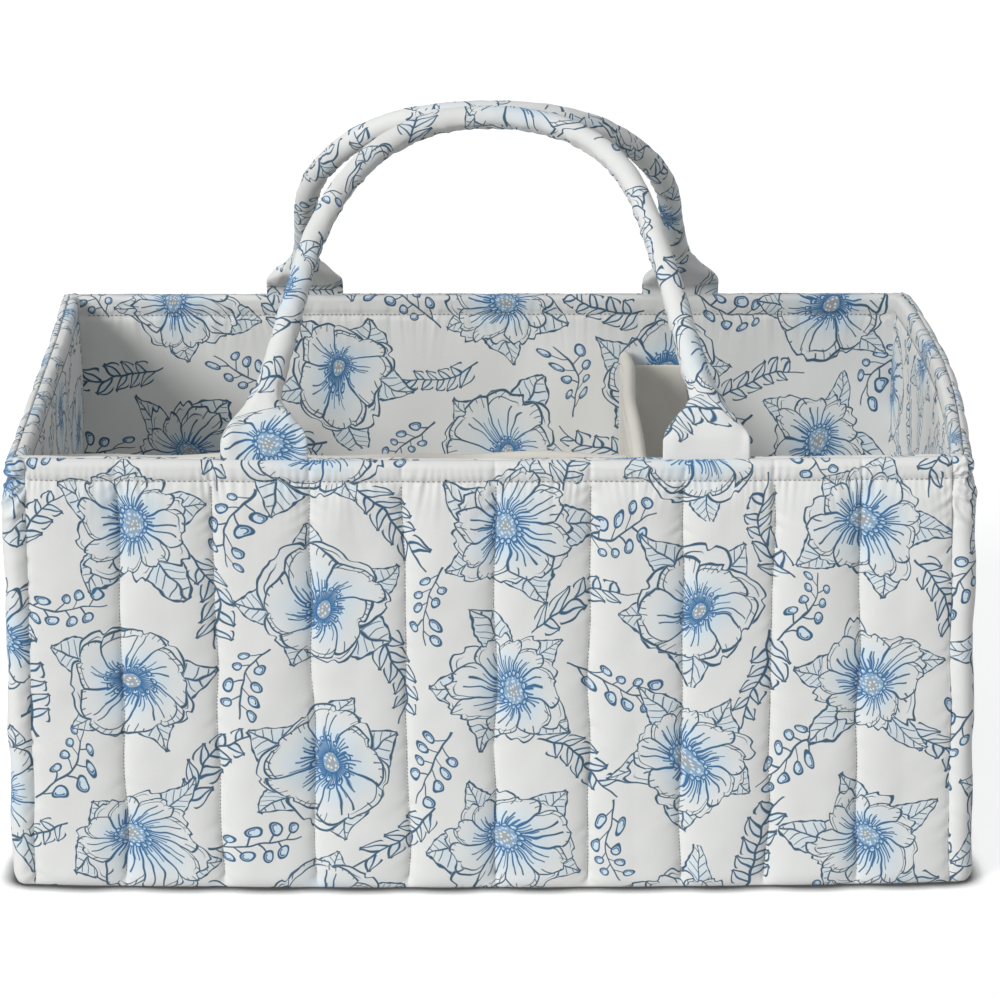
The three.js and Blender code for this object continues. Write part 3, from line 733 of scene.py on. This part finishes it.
def slab_mesh(name, half_x, half_y, low, high, seed, dome):
    """A flat padded sheet with softly rounded edges, as a closed loft along x."""
    edge = 2.2

    def places(half, count):
        inner = np.linspace(-half + edge, half - edge, count)
        return np.concatenate([[-half, -half + 0.4], inner, [half - 0.4, half]])

    along, across = places(half_x, 120), places(half_y, 80)
    x, y = np.meshgrid(along, across, indexing="ij")
    inset = np.minimum(half_x - np.abs(x), half_y - np.abs(y))
    rounding = np.sqrt(np.clip(1 - (1 - np.clip(inset / edge, 0, 1)) ** 2, 0, 1))
    soft = dome * (ease(inset / 30) + 0.5 * mottle(x, y, 60, seed))
    top = low + (high - low) * (0.3 + 0.7 * rounding) + soft * rounding
    upper = np.stack([x, y, top], -1)
    lower = np.stack([x, y, np.full(top.shape, low)], -1)[:, ::-1]
    around = np.concatenate([across, across + 2 * half_y + 2, [4 * half_y + 4]])
    return closed_loft(name, np.concatenate([upper, lower], 1), along, around)


# Materials

# Patterns: shader node groups written as arithmetic. A Field is a value or a vector that a node puts out.

class Field:
    def __init__(self, pattern, socket):
        self.pattern, self.socket = pattern, socket

    def __neg__(self):
        return self.pattern.math("MULTIPLY", self, -1.0)

    def __abs__(self):
        return self.pattern.math("ABSOLUTE", self)


def add_operator(symbol, kind):
    """Lets Fields be added, multiplied and so on, also with a plain number on either side."""
    def forwards(self, other):
        return self.pattern.math(kind, self, other)

    def backwards(self, other):
        return self.pattern.math(kind, other, self)

    setattr(Field, f"__{symbol}__", forwards)
    setattr(Field, f"__r{symbol}__", backwards)


for symbol, kind in (
        ("add", "ADD"), ("sub", "SUBTRACT"), ("mul", "MULTIPLY"), ("truediv", "DIVIDE"), ("pow", "POWER")):
    add_operator(symbol, kind)


class Pattern:
    """A node group with named inputs and outputs."""

    def __init__(self, name, inputs, outputs):
        self.tree = bpy.data.node_groups.new(name, "ShaderNodeTree")
        kinds = {"vector": "NodeSocketVector", "value": "NodeSocketFloat"}
        for label, kind in inputs:
            self.tree.interface.new_socket(label, in_out="INPUT", socket_type=kinds[kind])
        for label, kind in outputs:
            self.tree.interface.new_socket(label, in_out="OUTPUT", socket_type=kinds[kind])
        self.entry = self.add("NodeGroupInput")
        self.exit = self.add("NodeGroupOutput")

    def add(self, kind):
        node = self.tree.nodes.new(kind)
        count = len(self.tree.nodes)
        node.location = (190 * (count // 14), -170 * (count % 14))
        return node

    def fill(self, socket, value):
        if isinstance(value, Field):
            self.tree.links.new(value.socket, socket)
        else:
            socket.default_value = value

    def given(self, label):
        return Field(self, self.entry.outputs[label])

    def results(self, **values):
        for label, value in values.items():
            self.fill(self.exit.inputs[label], value)

    def math(self, kind, *values, clamp=False):
        node = self.add("ShaderNodeMath")
        node.operation = kind
        node.use_clamp = clamp
        for socket, value in zip(node.inputs, values):
            self.fill(socket, value)
        return Field(self, node.outputs[0])

    def vector(self, kind, *values):
        node = self.add("ShaderNodeVectorMath")
        node.operation = kind
        slots = [node.inputs[0], node.inputs[3]] if kind == "SCALE" else node.inputs
        for socket, value in zip(slots, values):
            self.fill(socket, value)
        return Field(self, node.outputs["Value" if kind == "LENGTH" else "Vector"])

    def split(self, vector):
        node = self.add("ShaderNodeSeparateXYZ")
        self.fill(node.inputs[0], vector)
        return [Field(self, node.outputs[k]) for k in range(3)]

    def combine(self, x, y, z=0.0):
        node = self.add("ShaderNodeCombineXYZ")
        for socket, value in zip(node.inputs, (x, y, z)):
            self.fill(socket, value)
        return Field(self, node.outputs[0])

    def turned(self, vector, angle):
        node = self.add("ShaderNodeVectorRotate")
        node.rotation_type = "Z_AXIS"
        self.fill(node.inputs["Vector"], vector)
        self.fill(node.inputs["Angle"], angle)
        return Field(self, node.outputs[0])

    def ramp(self, value, low, high, start=0.0, end=1.0):
        """start where value is low, end where it is high, and smooth between them."""
        node = self.add("ShaderNodeMapRange")
        node.interpolation_type = "SMOOTHSTEP"
        labels = ("Value", "From Min", "From Max", "To Min", "To Max")
        for label, given in zip(labels, (value, low, high, start, end)):
            self.fill(node.inputs[label], given)
        return Field(self, node.outputs[0])

    def pen(self, distance, width):
        """An inked line a little wider than the width, at a distance of 0."""
        half = width * 0.57
        if isinstance(half, Field):
            return self.math("MULTIPLY_ADD", half - distance, 4.0, 0.5, clamp=True)
        return self.ramp(distance, half + 0.13, half - 0.13)

    def inside(self, distance):
        """1 where a signed distance is negative."""
        return self.ramp(distance, 0.12, -0.12)

    def low(self, *values):
        return reduce(lambda one, other: self.math("MINIMUM", one, other), values)

    def high(self, *values):
        return reduce(lambda one, other: self.math("MAXIMUM", one, other), values)

    def chance(self, value):
        """A random number from 0 to 1 for each whole value."""
        node = self.add("ShaderNodeTexWhiteNoise")
        node.noise_dimensions = "1D"
        self.fill(node.inputs["W"], value)
        return Field(self, node.outputs["Value"])

    def noise(self, vector, scale, detail, out="Fac"):
        node = self.add("ShaderNodeTexNoise")
        node.noise_dimensions = "2D"
        self.fill(node.inputs["Vector"], vector)
        node.inputs["Scale"].default_value = scale
        node.inputs["Detail"].default_value = detail
        return Field(self, node.outputs[out])

    def use(self, other, **values):
        """Places another pattern in this one."""
        node = self.add("ShaderNodeGroup")
        node.node_tree = other.tree
        for label, value in values.items():
            self.fill(node.inputs[label], value)
        return [Field(self, socket) for socket in node.outputs]

    def spokes(self, angle, count, phase=0.0):
        """Splits the angle into count spokes: each point's spoke, and its angle from that spoke's middle."""
        share = angle * (count / (2 * math.pi)) + phase
        number = self.math("ROUND", share)
        off = (share - number) * (2 * math.pi / count)
        return self.math("FLOORED_MODULO", number, count), off


def motif_pattern(name):
    """A pattern for one motif of the print: the ink of its lines, where it covers what lies behind, its pale
    wash, and how bright its blue is."""
    outputs = [(label, "value") for label in ("Line", "Cover", "Wash", "Bright")]
    p = Pattern(name, [("Place", "vector"), ("Seed", "value")], outputs)
    return p, p.given("Place"), p.given("Seed")


def leaf_shape(p, x, y, length, width, bend, vein_gap, serration):
    """A leaf from its stalk at the origin along x, in mm: its lines, where it covers what lies behind, and
    how far along it each point is."""
    held = p.math("DIVIDE", x, length, clamp=True)
    arc = p.math("SINE", held * math.pi)
    y = y - bend * arc
    off = abs(y)
    edge = width * p.math("SINE", (held ** 0.8) * math.pi)
    if serration:
        edge = edge + p.math("PINGPONG", x + off * 0.6, serration) * 0.3
    within = p.low(edge - off, x, length - x)
    body = p.inside(-within)
    rib = p.pen(off, 0.85 - held * 0.4)
    slanted = (x - off * 0.85) / vein_gap + p.math("GREATER_THAN", y, 0.0) * 0.5
    across = abs(p.math("FRACT", slanted) - 0.5) * (vein_gap * 0.76)
    vein = p.pen(across, 0.34) * p.ramp(off / edge, 0.97, 0.86)
    line = p.high(p.pen(abs(within + 0.4), 0.7), body * p.high(rib, vein))
    return line, body, held


def petal_row(p, radius, angle, count, phase, middle, half_long, half_wide, seed):
    """One row of petals: the ink on them, where they cover what lies behind, and the distance inside their
    edges."""
    number, bearing = p.spokes(angle, count, phase)
    random = p.chance(number + seed)
    reach = radius / (0.9 + 0.18 * random)
    x, y = reach * p.math("COSINE", bearing), reach * p.math("SINE", bearing)
    long = (x - middle) / half_long
    wide = y / (half_wide * (0.84 + x * (0.2 / middle)))
    edge = 1.0 - p.math("SQRT", long * long + wide * wide)
    notch = p.ramp(abs(y + (random - 0.5) * 3.0), 2.4, 0.0) * p.ramp(long, 0.45, 0.95)
    within = (edge - notch * 0.2) * 11.0
    body = p.inside(-within)
    border = radius * (math.pi / count - abs(bearing))
    outline = p.pen(abs(within - 0.4), 0.76)
    parted = p.pen(border, 0.7) * p.ramp(radius, 5.0, 7.0)
    crease = p.pen(abs(abs(y + (random - 0.5) * 1.6) - x * 0.1), 0.5) * p.inside(x - 11.0 - 9.0 * random)
    fold = p.pen(abs(within - 2.0 - random), 0.42) * p.ramp(y, -1.0, 3.0)
    return body * p.high(outline, parted, crease, fold), body, within


def flower_pattern():
    """A flower about 46 mm across with two rows of petals: five broad ones in a row with long stamens, or
    eight narrow ones round a seeded middle, as its seed has it."""
    p, place, seed = motif_pattern("flower")
    narrow = p.math("GREATER_THAN", p.chance(seed + 0.5), 0.5)
    count = 5.0 + 3.0 * narrow
    x, y, _ = p.split(place)
    radius = p.vector("LENGTH", place)
    angle = p.math("ARCTAN2", y, x) + radius * 0.016
    front_line, front, front_within = petal_row(
        p, radius, angle, count, phase=0.0, middle=12.4, half_long=10.2, half_wide=12.2 - 5.6 * narrow,
        seed=seed)
    back_line, back, _ = petal_row(
        p, radius, angle, count, phase=0.5, middle=14.6, half_long=10.4, half_wide=11.4 - 5.4 * narrow,
        seed=seed + 20.0)
    line = p.high(front_line, back_line * (1.0 - front))
    # Fine strokes out of the middle and in from the tips, each of its own length
    stroke, off = p.spokes(angle, 48.0)
    length = p.chance(stroke + seed)
    side = abs(off) * radius
    fan = p.pen(side, 0.55 - radius * 0.018) * p.inside(radius - 6.5 - length * 7.5)
    tips = p.pen(side, 0.36) * p.inside(front_within - 0.8 - length * 3.6) * front
    line = p.high(line, fan, tips)
    # A middle full of seeds, and a bead on each stamen
    heart = 2.9 + 2.6 * narrow
    stamen, off = p.spokes(angle, 16.0)
    length = (2.0 + 3.4 * p.chance(stamen + seed + 70.0)) * (1.0 - narrow)
    side = off * radius
    along = radius - heart - length
    bead_edge = p.math("SQRT", along * along + side * side) - 0.85
    bead = p.pen(abs(bead_edge), 0.5)
    stem = p.pen(abs(side), 0.4) * p.inside(along)
    cells = p.add("ShaderNodeTexVoronoi")
    cells.voronoi_dimensions = "2D"
    p.fill(cells.inputs["Vector"], place)
    cells.inputs["Scale"].default_value = 0.66
    in_heart = p.inside(radius - heart)
    seeds = p.ramp(Field(p, cells.outputs["Distance"]), 0.2, 0.34) * in_heart
    middle = p.high(in_heart, p.inside(bead_edge))
    line = p.high(line * (1.0 - middle), bead, stem * (1.0 - in_heart), seeds * 0.6)
    p.results(
        Line=line, Cover=p.high(front, back), Wash=p.ramp(radius, 19.0, 4.0, 0.08, 0.85),
        Bright=p.ramp(radius, 18.0, 6.0))
    return p


def foliage_pattern():
    """Veined leaves that stick out round a flower, each with its own length and lean."""
    p, place, seed = motif_pattern("foliage")
    x, y, _ = p.split(place)
    radius = p.vector("LENGTH", place)
    number, bearing = p.spokes(p.math("ARCTAN2", y, x), 5.0, 0.3)
    random = p.chance(number + seed)
    lean = bearing + (random - 0.5) * 0.34
    length = 20.0 + p.chance(number + seed + 9.0) * 9.0
    along, aside = radius * p.math("COSINE", lean) - 8.0, radius * p.math("SINE", lean)
    line, body, held = leaf_shape(
        p, along, aside, length, width=7.0, bend=(random - 0.5) * 4.0, vein_gap=3.9, serration=1.3)
    there = p.math("LESS_THAN", random, 0.86)
    p.results(
        Line=line * there, Cover=body * there, Wash=p.ramp(held, 1.0, 0.3, 0.15, 0.55),
        Bright=p.ramp(held, 0.7, 0.2, 0.0, 0.6))
    return p


def stem_with_shoots(p, place, half_long, gap, bend, thick, lean):
    """A bent stem along x with a side shoot every gap, by turns on either side: its ink, how far along it
    each point is, each point's place on the nearest shoot, and where that shoot starts, along its side's own
    row and along the stem."""
    x, y, _ = p.split(place)
    held = p.math("MULTIPLY_ADD", x, 0.5 / half_long, 0.5, clamp=True)
    y = y - p.math("SINE", held * math.pi) * bend + math.copysign(2.0, bend)
    ink = p.pen(abs(y), thick - held * 0.4) * p.inside(abs(x) - half_long)
    aside = p.math("GREATER_THAN", y, 0.0) * (gap * 0.5)
    start = p.math("FLOOR", (x + aside) / gap) * gap
    u, v, _ = p.split(p.turned(p.combine(x + aside - start, abs(y)), lean))
    return ink, held, u, v, start, start - aside


def sprig_pattern():
    """A curved stem along x with pairs of small leaves, 42 mm long."""
    p, place, _ = motif_pattern("sprig")
    half_long = 21.0
    stem, held, u, v, _, on_stem = stem_with_shoots(
        p, place, half_long, gap=7.4, bend=4.5, thick=0.95, lean=-0.78)
    there = p.math("LESS_THAN", abs(on_stem + 4.0), half_long - 3.0)
    size = 1.14 - held * 0.42
    line, body, _ = leaf_shape(
        p, u, v, length=8.6 * size, width=2.5 * size, bend=0.5, vein_gap=40.0, serration=0.0)
    wash = p.ramp(v, -2.0, 2.0, 0.4, 0.1)
    p.results(Line=p.high(stem, line * there), Cover=body * there, Wash=wash, Bright=0.2)
    return p


def berry_pattern():
    """A curved twig along x with a berry on each side stalk, 34 mm long."""
    p, place, seed = motif_pattern("berry twig")
    half_long = 17.0
    stem, _, u, v, start, on_stem = stem_with_shoots(
        p, place, half_long, gap=6.8, bend=-4.0, thick=0.9, lean=-0.95)
    there = p.math("LESS_THAN", abs(on_stem + 2.0), half_long - 2.0)
    reach = 5.4 + p.chance(start + seed) * 1.6
    stalk = p.pen(abs(v), 0.5) * p.inside(u - reach + 1.9) * p.inside(-u)
    round_edge = p.vector("LENGTH", p.combine(u - reach, v)) - 1.95
    shine = p.pen(abs(round_edge + 0.8), 0.4) * p.inside(-v)
    berry = p.high(stalk, p.pen(abs(round_edge), 0.7), shine)
    p.results(Line=p.high(stem, berry * there), Cover=p.inside(round_edge) * there, Wash=0.6, Bright=0.6)
    return p


def nearest_copy(p, place, middle, turn, shift):
    """A place's distance from the nearest copy of a motif's middle, in a half-drop repeat in which the copies
    turn and shift by chance, and that copy's number."""
    across, up, sway = 72.0, 66.0, 5.0
    x, y, _ = p.split(p.vector("SUBTRACT", place, (*middle, 0.0)))
    column = p.math("ROUND", x / across)
    y = y + p.math("PINGPONG", column, 1.0) * (up / 2)
    row = p.math("ROUND", y / up)
    copy = column * 7.0 + row * 3.0
    random = p.chance(copy + 0.37)
    aside = (random - 0.5) * shift
    local = p.combine(x - column * across + aside, y - row * up - aside)
    return p.turned(local, turn + (random - 0.5) * sway), copy


def floral_print_pattern():
    """The cloth's print, from its map in metres: how much ink, the pale wash inside the motifs, and how
    bright the ink is."""
    outputs = [(label, "value") for label in ("Ink", "Wash", "Bright")]
    p = Pattern("floral print", [("Cloth", "vector")], outputs)
    place = p.vector("SCALE", p.given("Cloth"), 1000.0)
    # A drawn hand: the whole print wanders a little
    slow, fast = (
        [(part - 0.5) * reach for part in p.split(p.noise(place, scale, 0.0, "Color"))[:2]]
        for scale, reach in ((0.04, 11.0), (0.17, 1.5)))
    place = p.vector("ADD", place, p.combine(slow[0] + fast[0], slow[1] + fast[1]))
    # From the back to the front
    flowers = nearest_copy(p, place, middle=(0.0, 0.0), turn=0.0, shift=3.0)
    layers = (
        (berry_pattern(), nearest_copy(p, place, middle=(43.0, 0.0), turn=1.3, shift=3.0)),
        (sprig_pattern(), nearest_copy(p, place, middle=(29.0, 33.0), turn=0.6, shift=4.0)),
        (foliage_pattern(), flowers), (flower_pattern(), flowers))
    ink = wash = bright = 0.0
    for motif, (local, copy) in layers:
        line, cover, tint, blue = p.use(motif, Place=local, Seed=copy)
        clear = 1.0 - cover
        ink = p.high(ink * clear, line)
        wash = p.math("MULTIPLY_ADD", wash, clear, tint * cover)
        bright = p.math("MULTIPLY_ADD", bright, clear, blue * cover)
    p.results(Ink=ink, Wash=wash, Bright=bright)
    return p


def weave_pattern():
    """A plain weave from a place in metres: how high the threads stand, and how dark they look, which is
    painted shade where they lie low, with a random tone.
    """
    outputs = [("Height", "value"), ("Shade", "value")]
    p = Pattern("plain weave", [("Place", "vector"), ("Pitch", "value")], outputs)
    place, pitch = p.given("Place"), p.given("Pitch")
    drift = p.noise(place, 260.0, 2.0)
    x, y, _ = p.split(place)
    across, up = (p.math("SINE", (along / pitch) * math.pi + drift * 2.0) for along in (x, y))
    # Where one thread passes over, the crossing one passes under
    height = 0.5 + 0.5 * across * up
    # Shade is painted shade where the threads lie low, mixed with a random tone
    p.results(Height=height, Shade=height * 0.6 + p.noise(place, 1400.0, 1.0) * 0.4)
    return p


def add_node(tree, kind, group=None, **inputs):
    """A node whose inputs get a value or a link each. An input's name has _ for each space."""
    node = tree.nodes.new(kind)
    if group:
        node.node_tree = group.tree
    for label, value in inputs.items():
        give(tree, node.inputs[label.replace("_", " ")], value)
    return node


def give(tree, socket, value):
    if isinstance(value, bpy.types.NodeSocket):
        tree.links.new(value, socket)
    else:
        socket.default_value = value


def mixed(tree, first, second, share):
    """A colour between two others."""
    mix = tree.nodes.new("ShaderNodeMix")
    mix.data_type = "RGBA"
    for socket, value in zip((mix.inputs["Factor"], mix.inputs[6], mix.inputs[7]), (share, first, second)):
        give(tree, socket, (*value, 1) if isinstance(value, tuple) else value)
    return mix.outputs[2]


def cloth_material(name, colour, weave, pitch, tint, roughness, sheen, place="cloth"):
    """Woven cloth: its colour varies a little from place to place, and its threads make it matt and soft. It
    also gives the place that its patterns start from, and the colour that it takes."""
    material = bpy.data.materials.new(name)
    material.use_nodes = True
    tree = material.node_tree
    if place == "cloth":
        source = add_node(tree, "ShaderNodeUVMap")
        source.uv_map = "cloth"
        at = source.outputs[0]
    else:
        at = add_node(tree, "ShaderNodeTexCoord").outputs["Object"]
    threads = add_node(tree, "ShaderNodeGroup", weave, Pitch=pitch, Place=at)
    cloudy = add_node(tree, "ShaderNodeTexNoise", Vector=at, Scale=22.0, Detail=3.0).outputs["Fac"]
    base = mixed(tree, tint, colour, cloudy)
    # The weave's Shade darkens the colour where threads lie low: painted shade between the threads, with a
    # random tone.
    woven = mixed(tree, tuple(v * 0.86 for v in colour), base, threads.outputs["Shade"])
    rough = add_node(tree, "ShaderNodeMapRange", Value=cloudy, To_Min=roughness[0], To_Max=roughness[1])
    bump = add_node(
        tree, "ShaderNodeBump", Distance=pitch * 0.16, Strength=0.35, Height=threads.outputs["Height"])
    shader = tree.nodes["Principled BSDF"]
    for label, value in (
            ("Sheen Weight", sheen), ("Sheen Roughness", 0.55), ("Specular IOR Level", 0.25),
            ("Roughness", rough.outputs[0]), ("Normal", bump.outputs[0]), ("Base Color", woven)):
        give(tree, shader.inputs[label], value)
    return material, at, woven


def printed_material(weave):
    """Off-white cotton with a line print of flowers in blue ink over a pale wash."""
    material, at, woven = cloth_material(
        "printed cotton", (0.815, 0.82, 0.805), weave, pitch=0.00046, tint=(0.779, 0.782, 0.765),
        roughness=(0.8, 0.92), sheen=0.12)
    tree = material.node_tree
    floral = add_node(tree, "ShaderNodeGroup", floral_print_pattern(), Cloth=at).outputs
    washed = mixed(tree, woven, (0.54, 0.71, 0.83), floral["Wash"])
    ink = mixed(tree, (0.052, 0.112, 0.175), (0.045, 0.155, 0.33), floral["Bright"])
    inked = mixed(tree, washed, ink, floral["Ink"])
    tree.links.new(inked, tree.nodes["Principled BSDF"].inputs["Base Color"])
    return material


weave = weave_pattern()
printed_cloth = printed_material(weave)
plain_cloth, _, _ = cloth_material(
    "cream canvas", (0.78, 0.745, 0.68), weave, pitch=0.0007, tint=(0.73, 0.69, 0.62),
    roughness=(0.82, 0.94), sheen=0.15)
# The thread's dark grey is painted shade: it stands for the shadows of the needle holes and seam grooves, on
# thread that is lighter.
thread, _, _ = cloth_material(
    "stitch thread with painted hole shade", (0.35, 0.34, 0.325), weave, pitch=0.0003, tint=(0.27, 0.26, 0.25),
    roughness=(0.55, 0.7), sheen=0.2, place="object")
tape_cloth, _, _ = cloth_material(
    "hook and loop tape", (0.8, 0.79, 0.755), weave, pitch=0.0011, tint=(0.7, 0.69, 0.65),
    roughness=(0.85, 0.95), sheen=0.3, place="object")

# Pieces

for wall in quarter_turns:
    quilt = new_piece(f"{wall}_quilt", wall_quilt(wall), "caddy", printed_cloth)
    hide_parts(f"{wall}_cover", f"{wall}_padding")
    lining = new_piece(f"{wall}_wall_lining", wall_lining(wall), "caddy", printed_cloth)
    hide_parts(f"{wall}_lining")
    # The stitches take the thread that is painted dark as the shade of their holes.
    new_piece(f"{wall}_stitches", wall_stitches(wall), "caddy", thread)

floor_mesh = slab_mesh("floor_lining", half_x=181.6, half_y=118.6, low=1.6, high=9.0, seed=301, dome=0.45)
floor_lining = new_piece("floor_lining", floor_mesh, "caddy", printed_cloth)
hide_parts("base_lining", "base_padding", "base_board")
under_mesh = slab_mesh("underside_cloth", half_x=185.9, half_y=122.9, low=0.0, high=1.2, seed=302, dome=0.0)
underside = new_piece("underside_cloth", under_mesh, "caddy", printed_cloth)
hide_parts("base_cover")

for side, form in handle_forms.items():
    handle = new_piece(f"{side}_handle", handle_mesh(side), None, printed_cloth)
    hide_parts(f"{side}_handle_sleeve", f"{side}_handle_cord",
                f"{side}_left_tab_root", f"{side}_right_tab_root")
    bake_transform(handle)

for name, start, end, flap_side, seed in (
        ("cross_divider", (62, -115.5), (62, 115.5), (1, 0), 61),
        ("long_divider", (-178.5, -50), (56.5, -50), (0, 1), 71)):
    meshes = divider_mesh(name, start, end, flap_side, seed)
    divider = joined(name, meshes, name, plain_cloth)
    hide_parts(f"{name}_cover", f"{name}_board")

# The hook and loop tapes keep the frame's own solids
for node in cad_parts.values():
    if not node.hide_render:
        node.data.materials.clear()
        node.data.materials.append(tape_cloth)

# Camera, floor and light

camera_data = bpy.data.cameras.new("camera")
camera_data.lens = 147.06
camera_data.sensor_width = 36
camera_data.clip_end = 50
camera = bpy.data.objects.new("camera", camera_data)
bpy.context.scene.collection.objects.link(camera)
camera.location = (-0.012, -1.648, 0.628)
yaw, pitch, roll = (math.radians(v) for v in (0.59, 17.06, 0.07))
camera.rotation_euler = (Matrix.Rotation(-yaw, 3, "Z") @ Matrix.Rotation(math.pi / 2 - pitch, 3, "X")
                         @ Matrix.Rotation(roll, 3, "Z")).to_euler()
bpy.context.scene.camera = camera


def add_sun(name, towards, strength, softness, colour):
    """A distant soft light, which lies at the given place seen from the caddy."""
    data = bpy.data.lights.new(name, "SUN")
    data.energy = strength
    data.angle = math.radians(softness)
    data.color = colour
    lamp = bpy.data.objects.new(name, data)
    lamp.rotation_euler = Vector(towards).to_track_quat("Z", "Y").to_euler()
    bpy.context.scene.collection.objects.link(lamp)


add_sun("left window light", (-0.66, -0.62, 0.44), strength=2.3, softness=22, colour=(1, 1, 0.995))
add_sun("overhead light", (0.1, -0.25, 1), strength=0.3, softness=60, colour=(1, 1, 1))


def mixed_by_ray(tree, lighting, seen):
    """One shader for rays from the camera, and those that gloss or glass sends on, and one for all others."""
    rays = add_node(tree, "ShaderNodeLightPath").outputs
    share = rays["Is Camera Ray"]
    for label in ("Is Glossy Ray", "Is Transmission Ray"):
        higher = add_node(tree, "ShaderNodeMath")
        higher.operation = "MAXIMUM"
        for socket, value in zip(higher.inputs, (share, rays[label])):
            give(tree, socket, value)
        share = higher.outputs[0]
    mix = add_node(tree, "ShaderNodeMixShader")
    for socket, value in zip(mix.inputs, (share, lighting, seen)):
        give(tree, socket, value)
    return mix.outputs[0]


world = bpy.data.worlds.new("studio")
bpy.context.scene.world = world
world.use_nodes = True
sky = world.node_tree
sky.nodes.clear()
room = add_node(sky, "ShaderNodeBackground", Color=(0.97, 0.985, 1, 1), Strength=0.37)
backdrop = add_node(sky, "ShaderNodeBackground", Color=(1, 1, 1, 1))
add_node(sky, "ShaderNodeOutputWorld", Surface=mixed_by_ray(sky, room.outputs[0], backdrop.outputs[0]))

# The floor lights the caddy from below as white paper does. Seen directly it is white, with a light shadow.
bpy.ops.mesh.primitive_grid_add(x_subdivisions=24, y_subdivisions=24, size=8, location=(0, 0, 0))
floor = bpy.context.object
floor.name = "studio_floor"
floor_material = bpy.data.materials.new("white studio floor")
floor_material.use_nodes = True
ground = floor_material.node_tree
ground.nodes.clear()
paper = add_node(ground, "ShaderNodeBsdfDiffuse", Color=(0.62, 0.62, 0.62, 1))
foot_shade = add_node(ground, "ShaderNodeAmbientOcclusion", Distance=0.01)
foot_shade.samples = 8


def shaded_near_foot(dark, light):
    """A grey that darkens close to the caddy's foot."""
    return add_node(ground, "ShaderNodeMapRange", Value=foot_shade.outputs["AO"], From_Min=0.56, From_Max=0.9,
                    To_Min=dark, To_Max=light).outputs[0]


glow = add_node(ground, "ShaderNodeEmission", Strength=shaded_near_foot(dark=0.06, light=0.74))
faint = add_node(ground, "ShaderNodeBsdfDiffuse", Color=shaded_near_foot(dark=0.03, light=0.42))
shown = add_node(ground, "ShaderNodeAddShader")
for socket, part in zip(shown.inputs, (faint, glow)):
    ground.links.new(part.outputs[0], socket)
add_node(ground, "ShaderNodeOutputMaterial", Surface=mixed_by_ray(ground, paper.outputs[0], shown.outputs[0]))
floor.data.materials.append(floor_material)

bpy.context.scene.view_settings.view_transform = "Standard"
